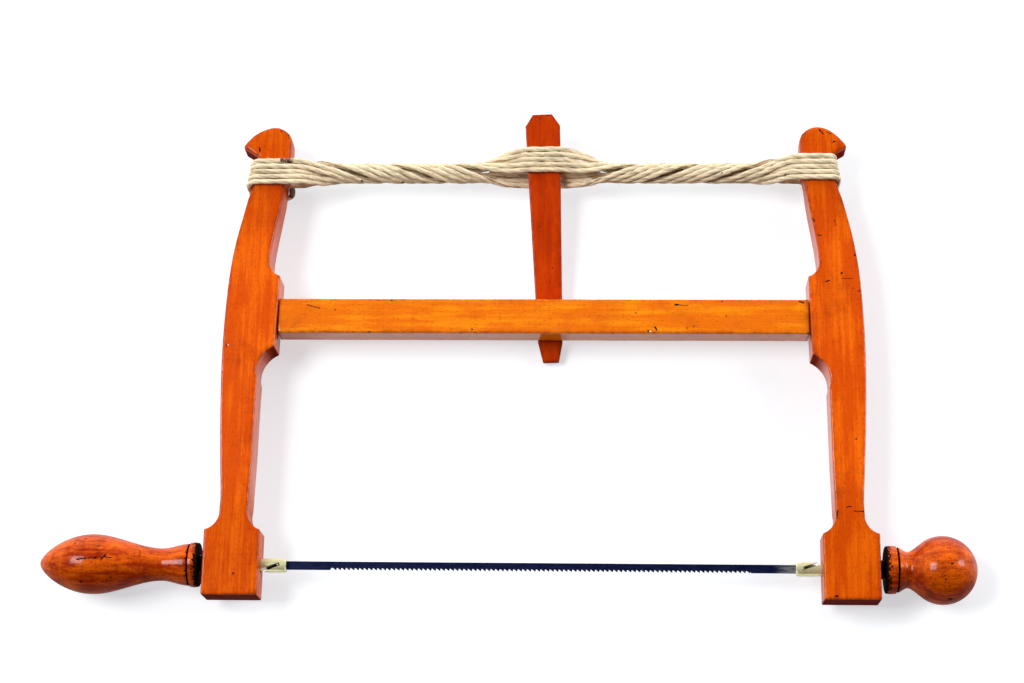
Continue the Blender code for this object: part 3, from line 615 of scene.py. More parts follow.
def cheek_half_thickness(y):
    """Half the thickness of a cheek, which thins from its block up to the top of its head."""
    share = max(0.0, (y - THINNING_START) / (CORD_RISE + HEAD_HEIGHT - THINNING_START))
    return (CHEEK_THICKNESS + (HEAD_THICKNESS - CHEEK_THICKNESS) * share) / 2


def block_face(y):
    """Distance of the block's inner face from the stretcher's shoulder; it touches at the top edge."""
    return JOINT_GAP + BLOCK_LEAN * (STRETCHER_HEIGHT / 2 - y)


def outer_edge(side, steps):
    """The cheek's outer edge, from the waist above the boss to the throat under the hook."""
    foot, cord = -BLADE_DROP, CORD_RISE
    inset = THROAT_INSET[side]
    return smooth([
        (0.0289, foot + 0.0300), (0.0287, foot + 0.0390), (0.0302, foot + 0.0630), (0.0317, -0.0580),
        (0.0325, -0.0250), (0.0319, 0.0020), (0.0304, 0.0260), (0.0277, 0.0460), (0.0240, cord - 0.0305),
        (0.0206 - 0.3 * inset, cord - 0.0135), (0.0188 - 0.8 * inset, cord - 0.0005),
        (0.0181 - inset, cord + 0.0082)], steps)


def cheek_outline(side):
    """Outline of a cheek, anticlockwise, as distances out from the stretcher's shoulder."""
    block_drop, reach = BLOCK_DROP[side], HOOK_REACH[side]
    foot, cord = -BLADE_DROP, CORD_RISE
    sole, shoulder = foot - BOSS_HEIGHT / 2, foot + BOSS_HEIGHT / 2
    boss_outer = BOSS_SETBACK + BOSS_WIDTH
    outer = outer_edge(side, 8)
    top = cord + HEAD_HEIGHT
    hook = [
        (reach - 0.0017, cord + 0.0125), (reach - 0.0003, cord + 0.0137),
        (reach - 0.0004, cord + 0.0157), (reach - 0.0031, cord + 0.0196),
        (reach - 0.0062, top - 0.0052), (0.0142, top - 0.0016), (0.0078, top), (0.0026, top - 0.0013),
        (0.0022 - HEAD_OVERHANG, top - 0.0042), (0.0005 - HEAD_OVERHANG, top - 0.0074),
        (-HEAD_OVERHANG, cord + 0.0170), (0.0004 - HEAD_OVERHANG, cord + 0.0060)]
    inner = [
        (0.0008 - HEAD_OVERHANG, cord - 0.0015), (-0.0008, cord - 0.0095), (0.0015, cord - 0.0245),
        (0.0043, 0.0530), (0.0060, 0.0415), (0.0066, BLOCK_RISE + 0.0090)]
    block_top = (block_face(BLOCK_RISE), BLOCK_RISE)
    block_foot = (block_face(-block_drop), -block_drop)
    arm = [
        (0.0107, -block_drop - 0.0205), (0.0110, -block_drop - 0.0380), (0.0113, foot + 0.0630),
        (0.0118, foot + 0.0450), (0.0121, foot + 0.0330)]
    stretches = [
        [(BOSS_SETBACK, sole), (boss_outer, sole)],
        arc((boss_outer, shoulder), outer[0], 0.0024, 12),
        outer,
        smooth(hook, 7),
        smooth(inner, 7),
        arc(inner[-1], block_top, 0.0018, 12),
        [block_foot],
        arc(block_foot, arm[0], 0.0042, 16),
        smooth(arm, 7),
        arc(arm[-1], (BOSS_SETBACK, shoulder), 0.0030, 12),
    ]
    outline = []
    for point in (Vector(p) for stretch in stretches for p in stretch):
        point.y = min(point.y, top - 0.0001)
        if not outline or (point - outline[-1]).length > 1e-5:
            outline.append(point)
    return round_off(outline, CORNER_ROUND)


def head_rounding(seed):
    """Rounding of a cheek's arrises: full on its head, half in front under the hook, worn behind the boss."""
    def at(x, y, face):
        height = y - CORD_RISE
        share = ease((height + 0.022) / 0.012)
        if face > 0 and abs(x) - SHOULDER_X > 0.010:
            share *= 1 - 0.5 * ease((height - 0.0060) / 0.004) * ease((0.0230 - height) / 0.010)
        full = HEAD_ROUND
        if face < 0 and y < 0:
            share = ease((0.034 - BLADE_DROP - y) / 0.010)
            full = BOSS_REAR_ROUND
        uneven = 1 + 0.15 * noise.noise(Vector((x * 60, y * 60, seed)))
        return tuple((CHEEK_EASE + (most - CHEEK_EASE) * share) * uneven for most in full)
    return at


RED_BEECH = (0.94, 0.158, 0.002)
DEEP_RED_BEECH = (0.70, 0.078, 0.001)
CHEEK_DENTS = {
    -1: [(0.0015, 0.1205, 0.0018, 0.0006, 1), (-0.0010, 0.1165, 0.0014, 0.0005, 1),
         (0.0160, 0.1065, 0.0013, 0.0003, 1), (0.0210, 0.1125, 0.0009, 0.0002, 1),
         (0.0300, -0.0200, 0.0016, 0.0004, 1),
         (0.0220, 0.0420, 0.0012, 0.0003, -1)],
    1: [(0.0095, 0.1190, 0.0012, 0.0004, 1), (0.0165, 0.1110, 0.0012, 0.0006, 1),
        (-0.0010, 0.1165, 0.0013, 0.0004, 1), (0.0250, -0.0760, 0.0013, 0.0003, 1),
        (0.0300, 0.0150, 0.0016, 0.0005, 1), (0.0200, -0.0400, 0.0014, 0.0004, -1)],
}
CHEEK_SCARS = {
    -1: (((-0.1636, 0.1202, 0.0086), (-0.1624, 0.1185, 0.0086), 0.0005),
         ((-0.1759, 0.1079, 0.0089), (-0.1753, 0.1053, 0.0090), 0.0006),
         ((-0.1585, 0.1167, 0.0087), (-0.1571, 0.1123, 0.0088), 0.0004),
         ((-0.1780, -0.1577, 0.0110), (-0.1778, -0.1579, 0.0110), 0.0007)),
    1: (((0.1680, 0.1200, 0.0086), (0.1702, 0.1168, 0.0087), 0.0005),
        ((0.1726, 0.1181, 0.0086), (0.1749, 0.1168, 0.0087), 0.0005),
        ((0.1574, 0.1162, 0.0087), (0.1598, 0.1174, 0.0087), 0.0004),
        ((0.1767, 0.1117, 0.0088), (0.1770, 0.1116, 0.0088), 0.0008),
        ((0.1865, 0.0461, 0.0108), (0.1870, 0.0443, 0.0109), 0.0007),
        ((0.1867, 0.0378, 0.0110), (0.1885, 0.0373, 0.0110), 0.0006),
        ((0.1620, 0.0615, 0.0103), (0.1634, 0.0597, 0.0104), 0.0006),
        ((0.1656, 0.0504, 0.0107), (0.1672, 0.0504, 0.0107), 0.0005),
        ((0.1755, 0.0603, 0.0104), (0.1765, 0.0566, 0.0105), 0.0003),
        ((0.1787, 0.0264, 0.0110), (0.1789, 0.0264, 0.0110), 0.0009),
        ((0.1692, 0.0210, 0.0110), (0.1715, 0.0218, 0.0110), 0.0005),
        ((0.1789, 0.0230, 0.0110), (0.1852, 0.0230, 0.0110), 0.0003),
        ((0.1695, -0.1685, 0.0110), (0.1710, -0.1685, 0.0110), 0.0008),
        ((0.1773, -0.1165, 0.0110), (0.1803, -0.1159, 0.0110), 0.0004),
        ((0.1820, -0.1187, 0.0110), (0.1876, -0.1189, 0.0110), 0.0004),
        ((0.1724, -0.1184, 0.0110), (0.1717, -0.1227, 0.0110), 0.0006)),
}


def rod(radius, length, segments, turn):
    """Bmesh of a round rod along Z, turned and moved into place."""
    bm = bmesh.new()
    bmesh.ops.create_cone(
        bm, cap_ends=True, segments=segments, radius1=radius, radius2=radius, depth=length, matrix=turn)
    return bm


bore_radius = HOLDER_DIAMETER / 2 + JOINT_GAP
for side, label in ((-1, "left"), (1, "right")):
    outline = [Vector((side * (SHOULDER_X + p.x), p.y)) for p in cheek_outline(side)]
    if side < 0:
        outline.reverse()
    dents = [(side * (SHOULDER_X + x), *rest) for x, *rest in CHEEK_DENTS[side]]
    cheek_mesh = board(label + "_cheek", outline, cheek_half_thickness, head_rounding(5.0 + side), dents)
    mortise = block(
        (2 * (TENON_LENGTH + JOINT_GAP), TENON_HEIGHT + 2 * JOINT_GAP, TENON_THICKNESS + 2 * JOINT_GAP),
        (side * SHOULDER_X, 0, 0))
    cheek_mesh = cut(cheek_mesh, mortise)
    bore_middle = Vector((side * (SHOULDER_X + BOSS_SETBACK + BOSS_WIDTH / 2), -BLADE_DROP, 0))
    turn = Matrix.Translation(bore_middle) @ Matrix.Rotation(math.pi / 2, 4, "Y")
    cheek_mesh = cut(cheek_mesh, finished("bore", rod(bore_radius, 2 * BOSS_WIDTH, 48, turn)))
    # The cheeks are made darker below the block towards the boss, and above it towards the head.
    cheek_beech = varnished_beech(
        label + "_cheek_beech", RED_BEECH, DEEP_RED_BEECH, ALONG_Y, (side * 63.0, 20.0, 35.0), 0.80,
        streaks=0.80, patches=0.75, rays=0.60, specks=0.9, smudges=0.38, dark_lines=CHEEK_SCARS[side],
        darkened_bands=((-0.075, -0.105), (0.045, 0.105)))
    dress(label + "_cheek_board", cheek_mesh, cheek_beech, "cheek_wood", "frame", label + "_cheek")


# Blade holders
# Two turned brass spindles run through the bosses. Each has a slot for the blade and a slanting
# notch where the blade's pin hooks in, a collar against the boss, and a tang driven into its grip.

HOLDER_REACH = 0.0152
HOLDER_CHAMFER = 0.0007
COLLAR_DIAMETER = 0.0112
COLLAR_THICKNESS = 0.0028
TANG_DIAMETER = 0.0050
TANG_LENGTH = 0.0300
PIN_DIAMETER = 0.0014
PIN_SETBACK = 0.0046
PIN_CLEARANCE = 0.00025
NOTCH_SLANT = math.radians(20)
BLADE_THICKNESS = 0.0007
BLADE_TAIL = 0.0070
BOSS_INNER_X = SHOULDER_X + BOSS_SETBACK
BOSS_OUTER_X = BOSS_INNER_X + BOSS_WIDTH
HOLDER_END_X = BOSS_INNER_X - HOLDER_REACH
PIN_X = HOLDER_END_X + PIN_SETBACK
GRIP_X = BOSS_OUTER_X + COLLAR_THICKNESS + 2 * JOINT_GAP


def turning(name, profile, steps, side):
    """Mesh turned about the blade's axis; a profile point is (distance out, radius, arris, grime)."""
    bm = bmesh.new()
    layers = [bm.verts.layers.float.new(title) for title in ("arris", "grime")]
    rings = []
    for out, radius, *marks in profile:
        marks = marks or (0.0, 0.0)
        spots = range(steps) if radius > 0 else range(1)
        ring = []
        for i in spots:
            angle = 2 * math.pi * i / steps
            vert = bm.verts.new((side * out, radius * math.cos(angle) - BLADE_DROP, radius * math.sin(angle)))
            for layer, mark in zip(layers, marks):
                vert[layer] = mark
            ring.append(vert)
        rings.append(ring)
    for near, far in zip(rings, rings[1:]):
        for i in range(steps):
            j = (i + 1) % steps
            corners = [near[i % len(near)], near[j % len(near)], far[j % len(far)], far[i % len(far)]]
            bm.faces.new(list(dict.fromkeys(corners)))
    return finished(name, bm, crease=38)


def turned_brass():
    """Brass with fine turning marks round it and a little tarnish, black at the collar between boss and grip.
    """
    material, tree, shader = new_material("turned_brass")
    at = place(tree, "ShaderNodeTexCoord").outputs["Object"]
    marks = cloudy(at, (9000.0, 60.0, 60.0))
    tarnish = cloudy(at, (130.0, 260.0, 260.0), 3.0, 0.55)
    # Black over the collar between the boss and the grip, fading out just past the boss's inner face.
    grime = times(painted(tree, "grime"), spread(tarnish, 0.30, 0.42, 0.55, 1.0))
    bright = tint(spread(tarnish, 0.50, 0.76, 0.0, 0.8), (1.00, 0.98, 0.55, 1.0), (0.66, 0.55, 0.22, 1.0))
    feed(shader, {
        "Base Color": tint(grime, bright, (0.012, 0.009, 0.007, 1.0)),
        "Roughness": sums("MAXIMUM", spread(tarnish, 0.35, 0.72, 0.17, 0.34), times(grime, 0.75)),
        "Normal": bumped(marks, 0.10, 0.00004), "Metallic": 0.5})
    return material


TURNED_BRASS = turned_brass()
shaft, collar, tang = HOLDER_DIAMETER / 2, COLLAR_DIAMETER / 2, TANG_DIAMETER / 2
collar_foot = BOSS_OUTER_X + JOINT_GAP
collar_top = collar_foot + COLLAR_THICKNESS
tang_end = GRIP_X + TANG_LENGTH
holder_profile = [
    (tang_end, 0), (tang_end, 0.0015), (tang_end - 0.0030, tang), (collar_top, tang, 0.0, 1.0),
    (collar_top, collar - HOLDER_CHAMFER / 2, 0.0, 1.0), (collar_top - HOLDER_CHAMFER / 2, collar, 0.0, 1.0),
    (collar_foot, collar, 0.0, 1.0), (collar_foot, shaft, 0.0, 1.0), (BOSS_INNER_X, shaft, 0.0, 0.6),
    (BOSS_INNER_X - 0.0012, shaft), (HOLDER_END_X + HOLDER_CHAMFER, shaft),
    (HOLDER_END_X, shaft - HOLDER_CHAMFER), (HOLDER_END_X, 0)]
notch_width = PIN_DIAMETER + 2 * PIN_CLEARANCE
notch_reach = (shaft + 0.0010) / math.sin(NOTCH_SLANT)
for side, label in ((-1, "left"), (1, "right")):
    holder_mesh = turning(label + "_holder", holder_profile, 56, side)
    slot_depth = PIN_SETBACK + BLADE_TAIL + JOINT_GAP
    blade_slot = block(
        (2 * slot_depth, 2 * HOLDER_DIAMETER, BLADE_THICKNESS + 2 * JOINT_GAP),
        (side * HOLDER_END_X, -BLADE_DROP, 0))
    holder_mesh = cut(holder_mesh, blade_slot)
    notch = block((notch_reach + notch_width / 2, notch_width, 2 * HOLDER_DIAMETER),
                  ((notch_reach - notch_width / 2) / 2, 0, 0))
    turn = NOTCH_SLANT if side > 0 else math.pi + NOTCH_SLANT
    notch.transform(Matrix.Translation((side * PIN_X, -BLADE_DROP, 0)) @ Matrix.Rotation(turn, 4, "Z"))
    holder_mesh = cut(holder_mesh, notch)
    dress(label + "_spindle", holder_mesh, TURNED_BRASS, "brass", "blade_unit", label + "_blade_holder")


# Cross pins
# A short steel pin goes through each end of the blade and hooks into the root of the holder's
# notch. Its ends are rounded off.

PIN_INSET = 0.00025
PIN_ROUND = 0.0003


def bare_steel():
    """Bright steel, a little scuffed."""
    material, tree, shader = new_material("bare_steel")
    at = place(tree, "ShaderNodeTexCoord").outputs["Object"]
    scuffs = cloudy(at, (1500.0, 1500.0, 300.0), 4.0)
    feed(shader, {
        "Base Color": tint(scuffs, (0.66, 0.67, 0.70, 1.0), (0.34, 0.34, 0.36, 1.0)),
        "Roughness": spread(scuffs, 0.3, 0.7, 0.16, 0.4), "Metallic": 1.0})
    return material


BARE_STEEL = bare_steel()
pin_half, pin_radius = HOLDER_DIAMETER / 2 - PIN_INSET, PIN_DIAMETER / 2
for side, label in ((-1, "left"), (1, "right")):
    bm = rod(pin_radius, 2 * pin_half, 32, Matrix.Translation((side * PIN_X, -BLADE_DROP, 0)))
    rims = [edge for edge in bm.edges if abs(edge.verts[0].co.z - edge.verts[1].co.z) < 1e-6]
    bmesh.ops.bevel(bm, geom=rims, offset=PIN_ROUND, segments=3, profile=0.6, affect="EDGES")
    pin_mesh = finished(label + "_pin", bm, crease=40)
    dress(label + "_pin", pin_mesh, BARE_STEEL, "pin_steel", "blade_unit", label + "_cross_pin")


# Blade
# A narrow strip of dark blued steel, with its teeth on the lower edge pointing away from the
# handle and set to alternate sides, and a plain length at each end for the holders.

BLADE_WIDTH = 0.0050
TOOTHED_LENGTH = 0.2450
TOOTH_PITCH = 0.00265
TOOTH_DEPTH = 0.0013
TOOTH_LEAN = 0.20
TOOTH_SET = math.radians(5.0)


def blued_steel():
    """Dark blued steel, rubbed paler along the edges and bare at the knob's end."""
    material, tree, shader = new_material("blued_steel")
    at = place(tree, "ShaderNodeTexCoord").outputs["Object"]
    rub = cloudy(at, (160.0, 1200.0, 1200.0), 5.0, 0.6)
    along = place(tree, "ShaderNodeSeparateXYZ", {"Vector": at}).outputs[0]
    end_x = HOME.x + HOLDER_END_X
    bare = times(spread(along, end_x - 0.014, end_x - 0.003), spread(rub, 0.32, 0.55))
    blue = tint(spread(rub, 0.35, 0.75), (0.003, 0.006, 0.042, 1.0), (0.009, 0.014, 0.058, 1.0))
    feed(shader, {
        "Base Color": tint(bare, blue, (0.22, 0.22, 0.24, 1.0)),
        "Roughness": spread(rub, 0.3, 0.7, 0.34, 0.5), "Normal": bumped(rub, 0.12, 0.00005), "Metallic": 0.5,
        "Specular IOR Level": 0.15})
    return material


def joined(*parts):
    """Several geometries as one."""
    node = place(tree_of(*parts), "GeometryNodeJoinGeometry")
    for part in parts:
        feed(node, {0: part})
    return node.outputs[0]


def toothed_strip():
    """Geometry nodes that set a row of teeth, bent to alternate sides, under a strip."""
    tree, given, result = new_group(
        "toothed_strip",
        {"Strip": "shape", "Tooth": "object", "First Tooth": "vector", "Teeth": "count", "Pitch": "value",
         "Set": "value", "Finish": "material"},
        {"Blade": "shape"}, "GeometryNodeTree")
    step = place(tree, "ShaderNodeCombineXYZ", {"X": given["Pitch"]}).outputs[0]
    row = place(tree, "GeometryNodeMeshLine", {
        "Count": given["Teeth"], "Start Location": given["First Tooth"], "Offset": step}).outputs[0]
    index = place(tree, "GeometryNodeInputIndex").outputs[0]
    hand = sums("SUBTRACT", times(sums("MODULO", index, 2.0), 2.0), 1.0)
    bend = place(tree, "ShaderNodeCombineXYZ", {"X": times(hand, given["Set"])}).outputs[0]
    bend = place(tree, "FunctionNodeEulerToRotation", {0: bend}).outputs[0]
    tooth = place(tree, "GeometryNodeObjectInfo", {"Object": given["Tooth"]}).outputs["Geometry"]
    teeth = place(tree, "GeometryNodeInstanceOnPoints", {
        "Points": row, "Instance": tooth, "Rotation": bend}).outputs[0]
    both = joined(teeth, given["Strip"])
    solid = place(tree, "GeometryNodeRealizeInstances", {"Geometry": both}).outputs[0]
    done = place(tree, "GeometryNodeSetMaterial", {"Geometry": solid, "Material": given["Finish"]}).outputs[0]
    feed(result, {"Blade": done})
    return tree


def grown(name, mesh, tree, settings):
    """Plain mesh of what a geometry node tree makes from a mesh."""
    obj = put(name, mesh)
    modifier = obj.modifiers.new(name, "NODES")
    modifier.node_group = tree
    for item in tree.interface.items_tree:
        if item.in_out == "INPUT" and item.name in settings:
            modifier[item.identifier] = settings[item.name]
    obj.update_tag()
    bpy.context.view_layer.update()
    return settled(obj, name)


def pierced_strip():
    """Mesh of the blade's strip above the teeth, with a hole for the pin near each end."""
    end = PIN_X + BLADE_TAIL
    top, root = BLADE_WIDTH / 2, -BLADE_WIDTH / 2
    tooth_count = int(TOOTHED_LENGTH / TOOTH_PITCH)
    half_row = tooth_count * TOOTH_PITCH / 2
    step = 0.0008
    loops = [[
        (end, top), (-end, top), (-end, root), (-half_row - step, root), (-half_row, root + TOOTH_DEPTH),
        (half_row, root + TOOTH_DEPTH), (half_row + step, root), (end, root)]]
    hole = (PIN_DIAMETER + 2 * PIN_CLEARANCE) / 2
    for side in (-1, 1):
        angles = [2 * math.pi * i / 24 for i in range(24)]
        loops.append([(side * PIN_X + hole * math.cos(a), hole * math.sin(a)) for a in angles])
    curve = bpy.data.curves.new("strip", "CURVE")
    curve.dimensions = "2D"
    curve.fill_mode = "BOTH"
    curve.extrude = BLADE_THICKNESS / 2
    for loop in loops:
        spline = curve.splines.new("POLY")
        spline.points.add(len(loop) - 1)
        for point, (x, y) in zip(spline.points, loop):
            point.co = (x, y - BLADE_DROP, 0, 1)
        spline.use_cyclic_u = True
    bm = bmesh.new()
    bm.from_mesh(settled(put("strip", curve), "strip"))
    bmesh.ops.remove_doubles(bm, verts=bm.verts, dist=WELD_GAP)
    return finished("strip", bm), tooth_count, -half_row


def single_tooth():
    """One tooth, its point a little blunted, hanging below its own origin."""
    bm = bmesh.new()
    sunk, tip = 0.0002, 0.00012
    profile = [
        (TOOTH_LEAN * TOOTH_PITCH, sunk), (TOOTH_PITCH - tip, -TOOTH_DEPTH),
        (TOOTH_PITCH + tip, -TOOTH_DEPTH), ((1 + TOOTH_LEAN) * TOOTH_PITCH, sunk)]
    face = bm.faces.new([bm.verts.new((x, y, -BLADE_THICKNESS / 2)) for x, y in profile])
    body = bmesh.ops.extrude_face_region(bm, geom=[face], use_keep_orig=True)
    moved = [v for v in body["geom"] if isinstance(v, bmesh.types.BMVert)]
    bmesh.ops.translate(bm, vec=(0, 0, BLADE_THICKNESS), verts=moved)
    return put("tooth", finished("tooth", bm))


BLUED_STEEL = blued_steel()
strip_mesh, tooth_count, row_start = pierced_strip()
tooth = single_tooth()
blade_mesh = grown("blade", strip_mesh, toothed_strip(), {
    "Tooth": tooth, "First Tooth": (row_start, TOOTH_DEPTH - BLADE_WIDTH / 2 - BLADE_DROP, 0.0),
    "Teeth": tooth_count, "Pitch": TOOTH_PITCH, "Set": TOOTH_SET, "Finish": BLUED_STEEL})
bpy.data.objects.remove(tooth)
blade_mesh.set_sharp_from_angle(angle=math.radians(30))
dress("toothed_blade", blade_mesh, BLUED_STEEL, "blade_steel", "blade_unit", "blade")


# Handle and knob
# Both grips are turned from beech and driven on to the holders' tangs: a long bellied handle with
# a small nose, and a ball on a short neck. Each has a collar cut off by a fine groove. The end
# faces are black, the collars black with old dirt, and the varnish is thick and glossy.

HANDLE_LENGTH = 0.0943
HANDLE_DIAMETER = 0.0352
HANDLE_BELLY_AT = 0.0625
HANDLE_NOSE_FULLNESS = 0.61
HANDLE_NECK_DIAMETER = 0.0190
HANDLE_NECK_AT = 0.0217
HANDLE_COLLAR_DIAMETER = 0.0261
HANDLE_COLLAR_LENGTH = 0.0060
KNOB_DIAMETER = 0.0398
KNOB_CENTRE_AT = 0.0330
KNOB_NECK_DIAMETER = 0.0202
KNOB_NECK_AT = 0.0128
KNOB_BEND = (0.0045, 0.0004)
KNOB_COLLAR_DIAMETER = 0.0277
KNOB_COLLAR_LENGTH = 0.0072
GROOVE_DEPTH = 0.0008
GROOVE_WIDTH = 0.0012
GRIP_END_EASE = 0.0006
GRIP_SIDES = 96
SOFTENING_PASSES = 14
SOFTENED_FROM = 40


def grip_end(radius, length, collar_dirt):
    """Profile of a grip's groove, collar and end face, down to the bore for the tang."""
    bore_radius = TANG_DIAMETER / 2 + JOINT_GAP
    depth = TANG_LENGTH + JOINT_GAP
    profile = [
        (length, radius - GROOVE_DEPTH, 0.5, 0.5),
        (length - GROOVE_WIDTH * 0.25, radius - 1.8 * GROOVE_DEPTH, 1.0, 1.0),
        (length - GROOVE_WIDTH * 0.65, radius - 1.6 * GROOVE_DEPTH, 1.0, 1.0),
        (length - GROOVE_WIDTH, radius - 0.15 * GROOVE_DEPTH, 1.0, 0.7)]
    run = length - GROOVE_WIDTH - GRIP_END_EASE
    for i in range(7):
        t = i / 6
        swell = 0.0003 * math.sin(math.pi * t)
        profile.append((GRIP_END_EASE + run * (1 - t) * 0.98, radius - 0.0002 + swell, 0.6, collar_dirt * t))
    profile += [
        (GRIP_END_EASE * 0.3, radius - GRIP_END_EASE * 0.4, 1.0, 1.0), (0, radius - GRIP_END_EASE, 1.0, 1.0),
        (0, radius * 0.6, 1.0, 1.0), (0, bore_radius, 1.0, 1.0), (depth, bore_radius, 0.0, 0.0),
        (depth, 0, 0.0, 0.0)]
    return profile


def flare(start, end, shares, dirt=0.0, clean=0.0):
    """Profile that widens from a neck, at shares of the way; dirt gathers on it past the clean share."""
    (start_at, narrow), (end_at, wide) = start, end
    return [(start_at + (end_at - start_at) * t, narrow + (wide - narrow) * ease(t), 0.0,
             dirt * ease((t - clean) / (1 - clean))) for t in shares]


def from_grip(profile):
    """Profile moved out to where the grips start."""
    return [(GRIP_X + out, *rest) for out, *rest in profile]


belly, neck, rim = HANDLE_DIAMETER / 2, HANDLE_NECK_DIAMETER / 2, HANDLE_COLLAR_DIAMETER / 2
nose = HANDLE_LENGTH - HANDLE_BELLY_AT
handle_profile = [(HANDLE_LENGTH, 0)]
for i in range(1, 30):
    run = math.sin((1 - i / 30) * math.pi / 2)
    swell = math.cos(run * math.pi / 2) ** HANDLE_NOSE_FULLNESS
    handle_profile.append((HANDLE_BELLY_AT + nose * run, belly * swell))
neck_foot = (HANDLE_NECK_AT, neck)
handle_profile += flare(neck_foot, (HANDLE_BELLY_AT, belly), [1 - i / 24 for i in range(25)])
handle_profile += flare(
    neck_foot, (HANDLE_COLLAR_LENGTH, rim - GROOVE_DEPTH), [i / 12 for i in range(1, 12)], 0.25, 0.6)
handle_profile += grip_end(rim, HANDLE_COLLAR_LENGTH, 0.75)

ball, neck, rim = KNOB_DIAMETER / 2, KNOB_NECK_DIAMETER / 2, KNOB_COLLAR_DIAMETER / 2
meet = math.acos(-math.sqrt(ball * ball - neck * neck) / ball)
knob_profile = []
for i in range(44):
    angle = meet * 0.90 * i / 43
    knob_profile.append((KNOB_CENTRE_AT + ball * math.cos(angle), ball * math.sin(angle)))
ball_end = Vector(knob_profile[-1])
neck_foot = (KNOB_NECK_AT, neck)
bend = Vector((ball_end.x - KNOB_BEND[0], neck + KNOB_BEND[1]))
for i in range(1, 12):
    t = i / 12
    knob_profile.append(tuple(ball_end.lerp(bend, t).lerp(bend.lerp(Vector(neck_foot), t), t)))
knob_profile += flare(
    neck_foot, (KNOB_COLLAR_LENGTH, rim - GROOVE_DEPTH), [i / 10 for i in range(10)], 0.35, 0.5)
for _ in range(SOFTENING_PASSES):
    softened = list(knob_profile)
    for i in range(SOFTENED_FROM, len(knob_profile) - 1):
        before, here, after = knob_profile[i - 1:i + 2]
        softened[i] = (*((before[k] + 2 * here[k] + after[k]) / 4 for k in (0, 1)), *here[2:])
    knob_profile = softened
knob_profile += grip_end(rim, KNOB_COLLAR_LENGTH, 0.65)

GRIP_SCARS = (
    ((-0.2684, -0.1514, 0.0171), (-0.2573, -0.1505, 0.0172), 0.0007),
    ((-0.2544, -0.1516, 0.0168), (-0.2519, -0.1480, 0.0160), 0.0005),
    ((-0.2528, -0.1498, 0.0164), (-0.2489, -0.1500, 0.0155), 0.0004),
    ((-0.2491, -0.1609, 0.0121), (-0.2491, -0.1611, 0.0121), 0.0008),
    ((-0.2656, -0.1380, 0.0117), (-0.2650, -0.1380, 0.0118), 0.0007),
    ((-0.2663, -0.1637, 0.0119), (-0.2660, -0.1637, 0.0119), 0.0009),
    ((-0.2128, -0.1572, 0.0092), (-0.2128, -0.1570, 0.0092), 0.0006),
    ((-0.2335, -0.1451, 0.0095), (-0.2330, -0.1483, 0.0107), 0.0003),
    ((-0.2323, -0.1501, 0.0108), (-0.2327, -0.1541, 0.0105), 0.0003),
    ((-0.2717, -0.1415, 0.0134), (-0.2694, -0.1388, 0.0118), 0.0003),
    ((-0.2587, -0.1434, 0.0157), (-0.2559, -0.1433, 0.0152), 0.0004),
    ((0.2318, -0.1594, 0.0180), (0.2320, -0.1594, 0.0180), 0.0007),
    ((0.2354, -0.1504, 0.0197), (0.2358, -0.1506, 0.0197), 0.0008),
    ((0.2345, -0.1691, 0.0080), (0.2360, -0.1690, 0.0080), 0.0012))
# The two darkened bands paint shade on the lower half of the handle and the knob, darkening it and thinning
# its varnish there.
GRIP_BEECH = varnished_beech(
    "grip_beech", (0.90, 0.148, 0.005), (0.36, 0.025, 0.002), ALONG_X, (20.0, 0.0, 50.0), 0.50,
    streaks=0.55, patches=0.60, rays=0.9, specks=1.0, smudges=0.95, dark_lines=GRIP_SCARS,
    darkened_bands=((-0.126, -0.141), (-0.131, -0.143)))
handle_mesh = turning("handle", from_grip(handle_profile), GRIP_SIDES, -1)
dress("bellied_handle", handle_mesh, GRIP_BEECH, "grip_wood", "blade_unit", "handle")
knob_mesh = turning("knob", from_grip(knob_profile), GRIP_SIDES, 1)
dress("ball_knob", knob_mesh, GRIP_BEECH, "grip_wood", "blade_unit", "knob")


# Toggle
# A flat tapered lever, pushed through the cord and turned to twist it. Its lower end lodges behind
# the stretcher. The upper corners are sawn off and the tip is drawn in; it is stained deep red.

TOGGLE_ABOVE = 0.0365
TOGGLE_BELOW = 0.1178
TOGGLE_THICKNESS = 0.0070
TOGGLE_TIP_THICKNESS = 0.0050
TOGGLE_TOP_WIDTH = 0.0214
TOGGLE_FOOT_WIDTH = 0.0148
TOGGLE_TIP_WIDTH = 0.0096
TOGGLE_TIP_LENGTH = 0.0120
TOGGLE_TOP_CHAMFER = 0.0048
TOGGLE_TOP_DROP = 0.0074
TOGGLE_SLEW = math.radians(2.35)
TOGGLE_EASE = 0.0008
TOGGLE_CORNER_ROUND = 0.0007


def toggle_lean():
    """Angle about X at which the toggle's face meets the stretcher's upper rear edge."""
    drop = CORD_RISE - STRETCHER_HEIGHT / 2
    back = STRETCHER_THICKNESS / 2
    clear = TOGGLE_THICKNESS / 2 + JOINT_GAP
    return math.atan2(back, drop) + math.asin(clear / math.hypot(drop, back))


def toggle_half_thickness(y):
    """Half the toggle's thickness, drawn in towards its tip."""
    share = min(max((-y - TOGGLE_BELOW + TOGGLE_TIP_LENGTH) / TOGGLE_TIP_LENGTH, 0.0), 1.0)
    return (TOGGLE_THICKNESS + (TOGGLE_TIP_THICKNESS - TOGGLE_THICKNESS) * share) / 2


